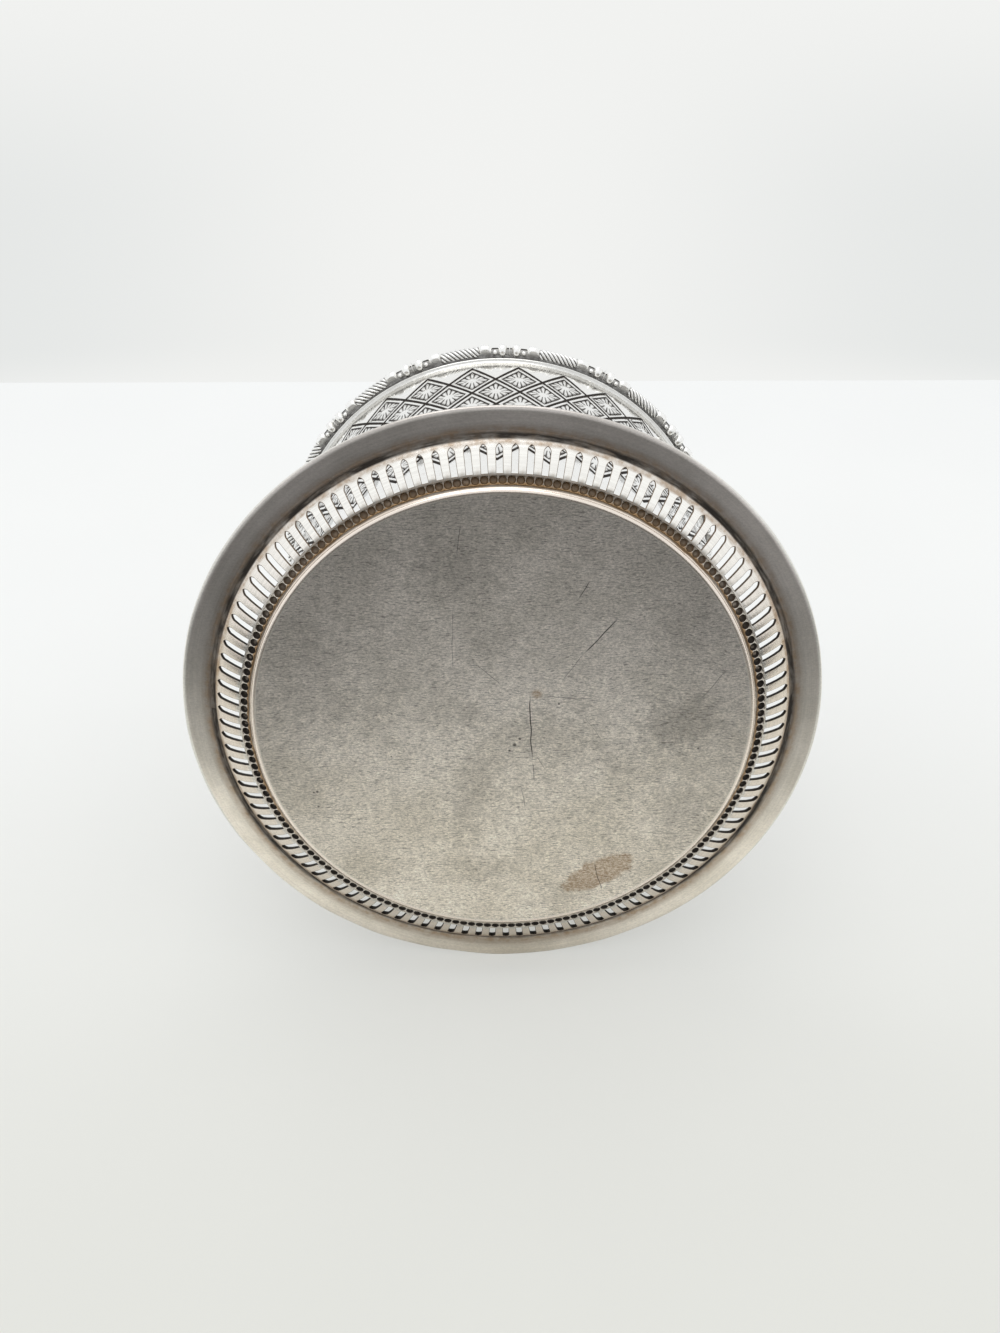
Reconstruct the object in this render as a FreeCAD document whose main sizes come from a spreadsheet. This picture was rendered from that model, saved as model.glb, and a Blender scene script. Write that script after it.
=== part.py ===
import FreeCAD, Part
import math
import os
import re
import Sketcher

doc = FreeCAD.newDocument("biscuit_box")
sheet = doc.addObject("Spreadsheet::Sheet", "Sizes")

# Driving dimensions, millimetres, degrees and counts.
SIZES = [
    # Tray: flat disc, pierced gallery and wide flange, spun from one sheet.
    ("disc_radius", 67.9),
    ("tray_sheet", 1.2),
    ("edge_roll", 1.0),
    ("gallery_radius", 79.8),
    ("gallery_height", 8.0),
    ("gallery_curve", 22.5),
    ("gallery_lean", 30),
    ("shoulder_width", 0.8),
    ("shoulder_rise", 0.2),
    ("flange_radius", 88.3),
    ("flange_rise", 1.3),
    ("flange_curve", 200),
    ("flange_edge_crown", 0.35),
    ("slot_count", 118),
    ("slot_width", 1.72),
    ("slot_root_radius", 72.4),
    ("slot_tip_radius", 78.65),
    ("slot_lancet", 0.85),
    ("dimple_count", 190),
    ("dimple_ring_radius", 70.85),
    ("dimple_radius", 0.97),
    ("dimple_depth", 2.1),
    ("tray_turn", 0.82),
    # Body: drawn cup with a raised trellis of lozenges on its wall.
    ("body_radius", 65.6),
    ("body_wall", 1.3),
    ("body_floor", 1.0),
    ("body_height", 106),
    ("lip_radius", 66.8),
    ("lip_thickness", 0.8),
    ("trellis_columns", 29),
    ("trellis_half_rows", 7),
    ("lozenge_height", 21),
    ("trellis_below_rim", 5.4),
    ("trellis_line", 0.95),
    ("trellis_depth", 0.45),
    ("trellis_turn", 5),
    ("pad_sink", 0.22),
    ("pad_margin", 1.3),
    ("pad_block", 6.5),
    # Lid: domed cover, cast rope-and-bead border and the bezel inside it.
    ("seam_gap", 0.3),
    ("bezel_clearance", 0.4),
    ("bezel_wall", 0.9),
    ("bezel_drop", 6),
    ("border_height", 4.2),
    ("border_radius", 67.4),
    ("rope_ring_radius", 67.9),
    ("rope_radius", 1.7),
    ("bead_ring_radius", 68.2),
    ("bead_rise", 1.94),
    ("bead_radius", 2.15),
    ("bead_half_length", 1.55),
    ("pod_radius", 2.05),
    ("pod_half_length", 2.25),
    ("pearl_radius", 0.85),
    ("collar_gap", 1.2),
    ("pearl_gap", 1.5),
    ("cluster_count", 14),
    ("cluster_turn", 2.5),
    ("cover_sheet", 1.0),
    ("cover_radius", 67.9),
    ("cover_shoulder", 62),
    ("dome_curve", 118),
    ("crown_radius", 9),
    ("crown_rise", 17.2),
    # Knob with its stud, washer and nut.
    ("knob_foot_radius", 7.5),
    ("knob_foot_height", 1.6),
    ("knob_neck_radius", 2.9),
    ("knob_foot_curve", 5.6),
    ("knob_neck_height", 4.4),
    ("knob_radius", 8.6),
    ("knob_middle", 9.6),
    ("knob_height", 18.4),
    ("knob_tip_radius", 1.6),
    ("stud_radius", 2),
    ("stud_clearance", 0.1),
    ("stud_length", 6.6),
    ("washer_radius", 5),
    ("washer_thickness", 0.8),
    ("nut_flats", 7),
    ("nut_thickness", 3.2),
    # Hinge at the back: two knuckles on the body, one on the lid, one pin.
    ("hinge_reach", 73.4),
    ("hinge_drop", 0.2),
    ("knuckle_radius", 2),
    ("pin_radius", 0.9),
    ("pin_clearance", 0.05),
    ("pin_head", 0.6),
    ("pin_head_radius", 1.5),
    ("knuckle_length", 6),
    ("knuckle_gap", 0.3),
    ("leaf_thickness", 1.2),
    ("leaf_height", 11),
    ("leaf_below_lip", 0.6),
    ("tongue_start", 63),
    ("arm_thickness", 1.6),
]


def fill_sheet():
    for row, (alias, number) in enumerate(SIZES, start=1):
        sheet.set(f"A{row}", alias)
        sheet.set(f"B{row}", str(number))
        sheet.setAlias(f"B{row}", alias)
    doc.recompute()


def bound(text):
    """Puts the sheet's name before each alias of an expression, and not before a function's name."""
    return re.sub(r"\b([a-z][a-z_]+)\b(?!\()", r"Sizes.\1", text)


def size(text):
    """The number that an expression of aliases gives now."""
    return float(sheet.evalExpression(bound(text)))


fill_sheet()


# Heights and radii that several pieces share, as expressions of the driving dimensions.
TRAY_TOP = "tray_sheet"
SEAM = "tray_sheet + body_height"
LID_SEAT = f"{SEAM} + seam_gap"
BORDER_TOP = f"{LID_SEAT} + border_height"
BEZEL_RADIUS = "body_radius - body_wall - bezel_clearance"
CROWN_UNDER = f"{BORDER_TOP} + crown_rise"
CROWN_TOP = f"{CROWN_UNDER} + cover_sheet"
GALLERY_FOOT = "disc_radius + edge_roll"
LEAN_ACROSS = "tray_sheet * sin(gallery_lean)"
LEAN_UP = "tray_sheet * cos(gallery_lean)"
TRELLIS_TOP = f"{SEAM} - trellis_below_rim"
TRELLIS_LOW = f"{TRELLIS_TOP} - trellis_half_rows * lozenge_height / 2"
BEAD_HEIGHT = f"{SEAM} + bead_rise"
HINGE_HEIGHT = f"{SEAM} - hinge_drop"


def plane(body, role):
    return next(p for p in body.Origin.OriginFeatures if p.Role == role)


def new_body(label):
    body = doc.addObject("PartDesign::Body", label)
    body.Label = label
    return body


def new_sketch(body, role, name):
    sketch = body.newObject("Sketcher::SketchObject", name)
    sketch.AttachmentSupport = (plane(body, role), [""])
    sketch.MapMode = "FlatFace"
    return sketch


def arc_between(start, end, radius, side):
    """Arc of a circle from start to end; side 1 bulges to the right of the way, -1 to the left."""
    middle = (start + end) * 0.5
    way = end - start
    half = way.Length / 2
    normal = FreeCAD.Vector(way.y, -way.x, 0).normalize()
    rise = radius - math.sqrt(max(radius * radius - half * half, 0))
    return Part.Arc(start, middle + normal * (rise * side), end)


def outline(sketch, points):
    """Closed outline. A point is (x, y) or (x, y, radius, side), where an arc leaves it."""
    places = [FreeCAD.Vector(size(p[0]), size(p[1]), 0) for p in points]
    for index, point in enumerate(points):
        start = places[index]
        end = places[(index + 1) % len(points)]
        if len(point) == 4:
            sketch.addGeometry(arc_between(start, end, size(point[2]), point[3]))
        else:
            sketch.addGeometry(Part.LineSegment(start, end))
    ends = [arc_ends(point) for point in points]
    for index, point in enumerate(points):
        following = (index + 1) % len(points)
        sketch.addConstraint(
            Sketcher.Constraint("Coincident", index, ends[index][1], following, ends[following][0]))
        bind_distance(sketch, "DistanceX", (-1, 1, index, ends[index][0]), point[0])
        bind_distance(sketch, "DistanceY", (-1, 1, index, ends[index][0]), point[1])
        if len(point) == 4:
            bind_distance(sketch, "Radius", (index,), point[2])


def arc_ends(point):
    """Which ends of an edge are its start and end: a sketch keeps arcs anticlockwise."""
    if len(point) == 4 and point[3] < 0:
        return (2, 1)
    return (1, 2)


def bind_distance(sketch, kind, places, text):
    number = sketch.addConstraint(Sketcher.Constraint(kind, *places, size(text)))
    sketch.setExpression(f"Constraints[{number}]", bound(text))


def turned(label, points):
    """A turned or spun piece: its half section on the XZ plane, revolved about Z."""
    body = new_body(label)
    section = new_sketch(body, "XZ_Plane", label + "_section")
    outline(section, points)
    spin = body.newObject("PartDesign::Revolution", label + "_spin")
    spin.Profile = section
    spin.ReferenceAxis = (section, ["V_Axis"])
    spin.Angle = 360
    doc.recompute()
    return body


def cut_round(body, sketch, depth, count, name):
    """Cuts a sketch upwards from the XY plane and repeats the cut round Z."""
    cut = body.newObject("PartDesign::Pocket", name)
    cut.Profile = sketch
    cut.Type = "Length"
    cut.setExpression("Length", bound(depth))
    cut.Reversed = True
    doc.recompute()
    ring = body.newObject("PartDesign::PolarPattern", name + "_ring")
    ring.Originals = [cut]
    ring.Axis = (sketch, ["N_Axis"])
    ring.Angle = 360
    ring.setExpression("Occurrences", bound(count))
    body.Tip = ring
    doc.recompute()


def base_tray():
    top = "gallery_height"
    shoulder = ("gallery_radius + shoulder_width", f"{top} + shoulder_rise")
    lip = "flange_radius - flange_edge_crown"
    edge_low = f"{top} + shoulder_rise + flange_rise"
    edge_curve = "(tray_sheet^2 / 4 + flange_edge_crown^2) / (2 * flange_edge_crown)"
    body = turned("base_tray", [
        ("0", "0"),
        ("disc_radius", "0", "edge_roll", 1),
        (GALLERY_FOOT, "edge_roll", "gallery_curve", 1),
        ("gallery_radius", top),
        (shoulder[0], shoulder[1], "flange_curve", -1),
        (lip, edge_low, edge_curve, 1),
        (lip, f"{edge_low} + tray_sheet", "flange_curve", 1),
        (f"{shoulder[0]} - {LEAN_ACROSS} / 2", f"{shoulder[1]} + tray_sheet"),
        (f"gallery_radius - {LEAN_ACROSS}", f"{top} + {LEAN_UP}", "gallery_curve", -1),
        (f"{GALLERY_FOOT} - {LEAN_ACROSS}", f"edge_roll + {LEAN_UP}"),
        (f"{GALLERY_FOOT} - {LEAN_ACROSS}", "tray_sheet"),
        ("0", "tray_sheet"),
    ])
    slot = new_sketch(body, "XY_Plane", "slot")
    outline_mirrored_slot(slot)
    cut_round(body, slot, "gallery_height + 2 * tray_sheet", "slot_count", "slot_cut")
    dimple = new_sketch(body, "XY_Plane", "dimple")
    circle = Part.Circle(
        FreeCAD.Vector(size("dimple_ring_radius"), 0, 0), FreeCAD.Vector(0, 0, 1), size("dimple_radius"))
    dimple.addGeometry(circle)
    dimple.addConstraint(Sketcher.Constraint("PointOnObject", 0, 3, -1))
    bind_distance(dimple, "DistanceX", (-1, 1, 0, 3), "dimple_ring_radius")
    bind_distance(dimple, "Radius", (0,), "dimple_radius")
    cut_round(body, dimple, "dimple_depth", "dimple_count", "dimple_cut")
    body.setExpression("Placement.Rotation.Angle", bound("tray_turn"))
    return body


def outline_mirrored_slot(sketch):
    """Slot along X with a square root and a pointed lancet tip of two arcs."""
    root, tip, half = size("slot_root_radius"), size("slot_tip_radius"), size("slot_width / 2")
    neck = size("slot_tip_radius - slot_lancet")
    sweep = size("slot_width")
    corners = [FreeCAD.Vector(root, -half, 0), FreeCAD.Vector(neck, -half, 0),
               FreeCAD.Vector(tip, 0, 0), FreeCAD.Vector(neck, half, 0), FreeCAD.Vector(root, half, 0)]
    sketch.addGeometry(Part.LineSegment(corners[0], corners[1]))
    sketch.addGeometry(arc_between(corners[1], corners[2], sweep, 1))
    sketch.addGeometry(arc_between(corners[2], corners[3], sweep, 1))
    sketch.addGeometry(Part.LineSegment(corners[3], corners[4]))
    sketch.addGeometry(Part.LineSegment(corners[4], corners[0]))
    for edge in range(5):
        sketch.addConstraint(Sketcher.Constraint("Coincident", edge, 2, (edge + 1) % 5, 1))
    for edge in (0, 3):
        sketch.addConstraint(Sketcher.Constraint("Horizontal", edge))
    sketch.addConstraint(Sketcher.Constraint("PointOnObject", 2, 1, -1))
    sketch.addConstraint(Sketcher.Constraint("Symmetric", 0, 1, 4, 1, -1))
    sketch.addConstraint(Sketcher.Constraint("Equal", 1, 2))
    bind_distance(sketch, "DistanceX", (-1, 1, 0, 1), "slot_root_radius")
    bind_distance(sketch, "DistanceX", (-1, 1, 0, 2), "slot_tip_radius - slot_lancet")
    bind_distance(sketch, "DistanceX", (-1, 1, 3, 1), "slot_tip_radius - slot_lancet")
    bind_distance(sketch, "DistanceX", (-1, 1, 2, 1), "slot_tip_radius")
    bind_distance(sketch, "DistanceY", (0, 1, 4, 1), "slot_width")
    bind_distance(sketch, "Radius", (1,), "slot_width")


def body_wall():
    inner = "body_radius - body_wall"
    recess = "body_radius - trellis_depth"
    return turned("body_wall", [
        ("0", TRAY_TOP),
        ("body_radius", TRAY_TOP),
        ("body_radius", TRELLIS_LOW),
        (recess, TRELLIS_LOW),
        (recess, TRELLIS_TOP),
        ("body_radius", TRELLIS_TOP),
        ("body_radius", f"{SEAM} - lip_thickness"),
        ("lip_radius", f"{SEAM} - lip_thickness"),
        ("lip_radius", SEAM),
        (inner, SEAM),
        (inner, f"{TRAY_TOP} + body_floor"),
        ("0", f"{TRAY_TOP} + body_floor"),
    ])


def lozenge(angle, height, lower, upper):
    """Wedge that stands for one lozenge of the trellis, or its lower or upper half, round the wall."""
    radius = size("body_radius")
    half_height = size("lozenge_height / 2")
    half_width = math.pi * radius / size("trellis_columns")
    slant = math.hypot(half_width, half_height)
    shrink = 1 - size("trellis_line / 2") * slant / (half_width * half_height)
    overlap = size("trellis_depth / 2")
    half_width *= shrink
    half_height *= shrink
    corners = []
    corners.append((-half_width, 0 if upper and lower else (-overlap if upper else overlap)))
    if lower:
        corners.append((0, -half_height))
    corners.append((half_width, corners[0][1]))
    if upper:
        corners.append((0, half_height))
    reach = radius + size("pad_margin")
    wire = Part.makePolygon([FreeCAD.Vector(reach, y, height + z) for y, z in corners + corners[:1]])
    wedge = Part.Face(wire).extrude(FreeCAD.Vector(-size("pad_block"), 0, 0))
    wedge.rotate(FreeCAD.Vector(0, 0, 0), FreeCAD.Vector(0, 0, 1), angle)
    return wedge


def trellis():
    """The raised lozenges between the engraved lines, as one group of shallow pads."""
    radius = size("body_radius")
    depth = size("trellis_depth")
    levels = int(size("trellis_half_rows"))
    step = size("lozenge_height / 2")
    low = size(TRELLIS_LOW)
    high = size(TRELLIS_TOP)
    pitch = 360 / size("trellis_columns")
    base = FreeCAD.Vector(0, 0, low - step)
    tall = high - low + 2 * step
    inside = radius - depth - size("pad_sink")
    skin = Part.makeCylinder(radius, tall, base).cut(Part.makeCylinder(inside, tall, base))
    wedges = []
    for column in range(int(size("trellis_columns"))):
        angle = -90 + size("trellis_turn") + column * pitch
        for level in range(levels + 1):
            offset = pitch / 2 if (levels - level) % 2 == 0 else 0
            wedges.append(lozenge(angle + offset, low + level * step, level > 0, level < levels))
    pads = doc.addObject("Part::Feature", "trellis_pads")
    pads.Shape = skin.common(wedges)
    return pads


def body_shell():
    shell = doc.addObject("Part::Feature", "body_shell")
    shell.Label = "body_shell"
    wall = body_wall()
    pads = trellis()
    shell.Shape = wall.Shape.fuse(pads.Shape.Solids)
    return shell


def barrel(half_length, radius):
    """A bead longer or shorter than it is thick: half an ellipse turned about its own length, along Y."""
    ellipse = Part.Ellipse(
        FreeCAD.Vector(0, half_length, 0), FreeCAD.Vector(radius, 0, 0), FreeCAD.Vector(0, 0, 0)
    ) if half_length > radius else Part.Ellipse(
        FreeCAD.Vector(radius, 0, 0), FreeCAD.Vector(0, half_length, 0), FreeCAD.Vector(0, 0, 0))
    start = ellipse.parameter(FreeCAD.Vector(0, -half_length, 0))
    end = ellipse.parameter(FreeCAD.Vector(0, half_length, 0))
    if end < start:
        end += 2 * math.pi
    curve = Part.ArcOfEllipse(ellipse, start, end).toShape()
    if curve.CenterOfMass.x < 0:
        curve = Part.ArcOfEllipse(ellipse, end, start + 2 * math.pi).toShape()
    chord = Part.makeLine(FreeCAD.Vector(0, -half_length, 0), FreeCAD.Vector(0, half_length, 0))
    face = Part.Face(Part.Wire([curve, chord]))
    return face.revolve(FreeCAD.Vector(0, 0, 0), FreeCAD.Vector(0, 1, 0), 360)


def border_beads():
    """Fourteen clusters round the lid, each pod, pearl, bead, bead, pearl and pod."""
    ring = size("bead_ring_radius")
    height = size(BEAD_HEIGHT)
    bead_at = size("collar_gap / 2 + bead_half_length")
    pearl_at = size("collar_gap / 2 + 2 * bead_half_length + pearl_gap / 2")
    pod_at = size("collar_gap / 2 + 2 * bead_half_length + pearl_gap + pod_half_length")
    bead = barrel(size("bead_half_length"), size("bead_radius"))
    pod = barrel(size("pod_half_length"), size("pod_radius"))
    pearl = Part.makeSphere(size("pearl_radius"))
    pearl_drop = size("bead_radius - pearl_radius")
    beads = []
    for cluster in range(int(size("cluster_count"))):
        middle = -90 + size("cluster_turn") + cluster * 360 / size("cluster_count")
        for shape, along, drop in ((bead, bead_at, 0), (pearl, pearl_at, pearl_drop), (pod, pod_at, 0)):
            for side in (-1, 1):
                copy = shape.copy()
                copy.translate(FreeCAD.Vector(ring, 0, height - drop))
                turn = middle + side * math.degrees(along / ring)
                copy.rotate(FreeCAD.Vector(0, 0, 0), FreeCAD.Vector(0, 0, 1), turn)
                beads.append(copy)
    return beads


def lid_border():
    strip = turned("border_strip", [
        (BEZEL_RADIUS, LID_SEAT),
        ("border_radius", LID_SEAT),
        ("border_radius", BORDER_TOP),
        (BEZEL_RADIUS, BORDER_TOP),
    ])
    border = doc.addObject("Part::Feature", "lid_border")
    border.Label = "lid_border"
    rope = Part.makeTorus(size("rope_ring_radius"), size("rope_radius"),
                          FreeCAD.Vector(0, 0, size(BEAD_HEIGHT)))
    border.Shape = strip.Shape.fuse([rope] + border_beads())
    return border


def lid_cover():
    return turned("lid_cover", [
        ("stud_radius + stud_clearance", CROWN_UNDER),
        ("crown_radius", CROWN_UNDER, "dome_curve", -1),
        ("cover_shoulder", BORDER_TOP),
        ("cover_radius", BORDER_TOP),
        ("cover_radius", f"{BORDER_TOP} + cover_sheet"),
        ("cover_shoulder", f"{BORDER_TOP} + cover_sheet", "dome_curve", 1),
        ("crown_radius", CROWN_TOP),
        ("stud_radius + stud_clearance", CROWN_TOP),
    ])


def lid_bezel():
    inner = f"{BEZEL_RADIUS} - bezel_wall"
    return turned("lid_bezel", [
        (inner, f"{SEAM} - bezel_drop"),
        (BEZEL_RADIUS, f"{SEAM} - bezel_drop"),
        (BEZEL_RADIUS, BORDER_TOP),
        (inner, BORDER_TOP),
    ])


def bulge(across, up):
    """Radius of the arc that leaves a widest point straight up and comes in by across at the height up."""
    return f"(({across})^2 + ({up})^2) / (2 * ({across}))"


def lid_knob():
    foot_top = f"{CROWN_TOP} + knob_foot_height"
    neck_top = f"{CROWN_TOP} + knob_neck_height"
    middle = f"{CROWN_TOP} + knob_middle"
    tip = f"{CROWN_TOP} + knob_height"
    lower_curve = bulge("knob_radius - knob_neck_radius", "knob_middle - knob_neck_height")
    upper_curve = bulge("knob_radius - knob_tip_radius", "knob_height - knob_tip_radius - knob_middle")
    return turned("lid_knob", [
        ("0", f"{CROWN_UNDER} - stud_length"),
        ("stud_radius", f"{CROWN_UNDER} - stud_length"),
        ("stud_radius", CROWN_TOP),
        ("knob_foot_radius", CROWN_TOP),
        ("knob_foot_radius", foot_top, "knob_foot_curve", -1),
        ("knob_neck_radius", neck_top, lower_curve, 1),
        ("knob_radius", middle, upper_curve, 1),
        ("knob_tip_radius", f"{tip} - knob_tip_radius", "knob_tip_radius", 1),
        ("0", tip),
    ])


def knob_washer():
    hole = "stud_radius + stud_clearance"
    return turned("knob_washer", [
        (hole, f"{CROWN_UNDER} - washer_thickness"),
        ("washer_radius", f"{CROWN_UNDER} - washer_thickness"),
        ("washer_radius", CROWN_UNDER),
        (hole, CROWN_UNDER),
    ])


def knob_nut():
    nut = doc.addObject("Part::Prism", "nut_block")
    nut.Polygon = 6
    nut.setExpression("Circumradius", bound("nut_flats / sqrt(3)"))
    nut.setExpression("Height", bound("nut_thickness"))
    bore = doc.addObject("Part::Cylinder", "nut_bore")
    bore.setExpression("Radius", bound("stud_radius + stud_clearance / 2"))
    bore.setExpression("Height", bound("nut_thickness"))
    for block in (nut, bore):
        block.setExpression("Placement.Base.z", bound(f"{CROWN_UNDER} - washer_thickness - nut_thickness"))
    cut = doc.addObject("Part::Cut", "knob_nut")
    cut.Base = nut
    cut.Tool = bore
    cut.Label = "knob_nut"
    doc.recompute()
    return cut


def along_x(start, end, radius):
    """A rod along the hinge axis, which runs along X behind the box."""
    place = FreeCAD.Vector(start, size("hinge_reach"), size(HINGE_HEIGHT))
    return Part.makeCylinder(radius, end - start, place, FreeCAD.Vector(1, 0, 0))


def hinge_bore():
    length = size("3 * knuckle_length")
    return along_x(-length, length, size("pin_radius + pin_clearance"))


def wall_leaf(radius, low, high, half_width):
    """A plate bent round a wall of the given radius, soldered to its outside at the back."""
    thick = size("leaf_thickness")
    outer = Part.makeCylinder(radius + thick, high - low, FreeCAD.Vector(0, 0, low))
    inner = Part.makeCylinder(radius, high - low, FreeCAD.Vector(0, 0, low))
    window = Part.makeBox(2 * half_width, radius + 2 * thick, high - low, FreeCAD.Vector(-half_width, 0, low))
    return outer.cut(inner).common(window)


def hinge_body_leaf():
    """Leaf on the body wall with an arm out to the two outer knuckles."""
    half = size("1.5 * knuckle_length + knuckle_gap")
    lip_under = size(f"{SEAM} - lip_thickness")
    top = lip_under - size("leaf_below_lip")
    low = top - size("leaf_height")
    radius = size("body_radius")
    arm = size("arm_thickness")
    reach = size("hinge_reach")
    barrel_radius = size("knuckle_radius")
    leaf = wall_leaf(radius, low, top, half)
    pieces = []
    for side in (-1, 1):
        inner_end = side * size("knuckle_length / 2 + knuckle_gap")
        start, end = sorted((inner_end, side * half))
        shelf = Part.makeBox(end - start, reach + barrel_radius - radius - arm / 2, arm,
                             FreeCAD.Vector(start, radius + arm / 2, top - arm))
        post = Part.makeBox(end - start, 2 * barrel_radius, size(HINGE_HEIGHT) - top + arm,
                            FreeCAD.Vector(start, reach - barrel_radius, top - arm))
        pieces += [shelf, post, along_x(start, end, barrel_radius)]
    plate = doc.addObject("Part::Feature", "hinge_body_leaf")
    plate.Label = "hinge_body_leaf"
    plate.Shape = leaf.fuse(pieces).cut(hinge_bore()).removeSplitter()
    return plate


def hinge_lid_leaf():
    """Tongue on top of the lid's edge with the middle knuckle."""
    half = size("knuckle_length / 2")
    top = size(f"{BORDER_TOP} + cover_sheet")
    thick = size("leaf_thickness")
    reach = size("hinge_reach")
    barrel_radius = size("knuckle_radius")
    seat = size("tongue_start")
    tongue = Part.makeBox(2 * half, reach + barrel_radius - seat, thick, FreeCAD.Vector(-half, seat, top))
    post = Part.makeBox(2 * half, barrel_radius, top + thick - size(HINGE_HEIGHT),
                        FreeCAD.Vector(-half, reach, size(HINGE_HEIGHT)))
    shape = tongue.fuse([post, along_x(-half, half, barrel_radius)]).cut(hinge_bore()).removeSplitter()
    tongue_piece = doc.addObject("Part::Feature", "hinge_lid_leaf")
    tongue_piece.Label = "hinge_lid_leaf"
    tongue_piece.Shape = shape
    return tongue_piece


def hinge_pin():
    half = size("1.5 * knuckle_length + knuckle_gap")
    head = size("pin_head")
    shank = along_x(-half, half, size("pin_radius"))
    heads = [along_x(half, half + head, size("pin_head_radius")),
             along_x(-half - head, -half, size("pin_head_radius"))]
    pin = doc.addObject("Part::Feature", "hinge_pin")
    pin.Label = "hinge_pin"
    pin.Shape = shank.fuse(heads).removeSplitter()
    return pin


def write(pieces):
    doc.recompute()
    failed = [item.Name for item in doc.Objects if {"Invalid", "Error"} & set(item.State)]
    if failed:
        raise RuntimeError("failed objects: " + ", ".join(failed))
    os.makedirs("parts", exist_ok=True)
    for piece in pieces:
        shape = piece.Shape
        if shape.isNull() or not shape.isValid() or len(shape.Solids) != 1:
            raise RuntimeError(f"{piece.Label}: shape is null, not valid or not one solid")
        print(piece.Label, round(shape.Volume, 1), "mm3")
        shape.exportStep(f"parts/{piece.Label}.step")


write([
    base_tray(),
    body_shell(),
    hinge_body_leaf(),
    hinge_pin(),
    hinge_lid_leaf(),
    lid_border(),
    lid_bezel(),
    lid_cover(),
    lid_knob(),
    knob_washer(),
    knob_nut(),
])
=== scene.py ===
import math
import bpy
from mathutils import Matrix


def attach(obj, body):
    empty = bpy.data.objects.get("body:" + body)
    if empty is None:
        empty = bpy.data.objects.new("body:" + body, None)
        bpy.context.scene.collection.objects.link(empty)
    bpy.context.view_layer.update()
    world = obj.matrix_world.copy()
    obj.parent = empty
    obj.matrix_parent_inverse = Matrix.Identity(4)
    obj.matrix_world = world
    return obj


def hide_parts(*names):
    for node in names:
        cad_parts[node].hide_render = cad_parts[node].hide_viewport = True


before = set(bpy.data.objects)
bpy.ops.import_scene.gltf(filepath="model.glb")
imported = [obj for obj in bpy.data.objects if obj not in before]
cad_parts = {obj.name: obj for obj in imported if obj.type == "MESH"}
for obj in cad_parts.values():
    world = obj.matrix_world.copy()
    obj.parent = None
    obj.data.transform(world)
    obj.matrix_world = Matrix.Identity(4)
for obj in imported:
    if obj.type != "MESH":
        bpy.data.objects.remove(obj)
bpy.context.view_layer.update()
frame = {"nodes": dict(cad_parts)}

from types import SimpleNamespace

import bmesh
import bpy
import numpy as np
from mathutils import Matrix, Vector

MM = 0.001
TURN = 2 * math.pi

# Sizes of the solids that the detailed pieces keep, in millimetres and degrees.
DISC_RADIUS = 67.9
TRAY_SHEET = 1.2
EDGE_ROLL = 1.0
GALLERY_RADIUS, GALLERY_HEIGHT, GALLERY_CURVE, GALLERY_LEAN = 79.8, 8.0, 22.5, 30
SHOULDER_WIDTH, SHOULDER_RISE = 0.8, 0.2
FLANGE_RADIUS, FLANGE_RISE, FLANGE_CURVE, FLANGE_CROWN = 88.3, 1.3, 200.0, 0.35
SLOT_COUNT, SLOT_WIDTH, SLOT_ROOT, SLOT_TIP, SLOT_LANCET = 118, 1.72, 72.4, 78.65, 0.85
DIMPLE_COUNT, DIMPLE_RING, DIMPLE_RADIUS = 190, 70.85, 0.97
TRAY_TURN = 0.82
BODY_RADIUS, BODY_WALL, BODY_FLOOR = 65.6, 1.3, 1.0
SEAM = 107.2
LIP_RADIUS, LIP_THICKNESS = 66.8, 0.8
COLUMNS, HALF_ROWS, LOZENGE_HEIGHT, TRELLIS_BELOW_RIM = 29, 7, 21.0, 5.4
TRELLIS_TURN, TRELLIS_DEPTH = 5.0, 0.45
SEAM_GAP, BORDER_HEIGHT, BORDER_RADIUS, BEZEL_RADIUS = 0.3, 4.2, 67.4, 63.9
ROPE_RING, ROPE_RADIUS = 67.9, 1.7
BEAD_RING, BEAD_RADIUS, BEAD_HALF, BEAD_RAISED = 68.2, 2.15, 1.55, 0.9
POD_RADIUS, POD_HALF, PEARL_RADIUS = 2.05, 2.25, 0.85
COLLAR_GAP, PEARL_GAP = 1.2, 1.5
CLUSTERS, CLUSTER_TURN, RIBS = 14, 2.5, 22


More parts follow.
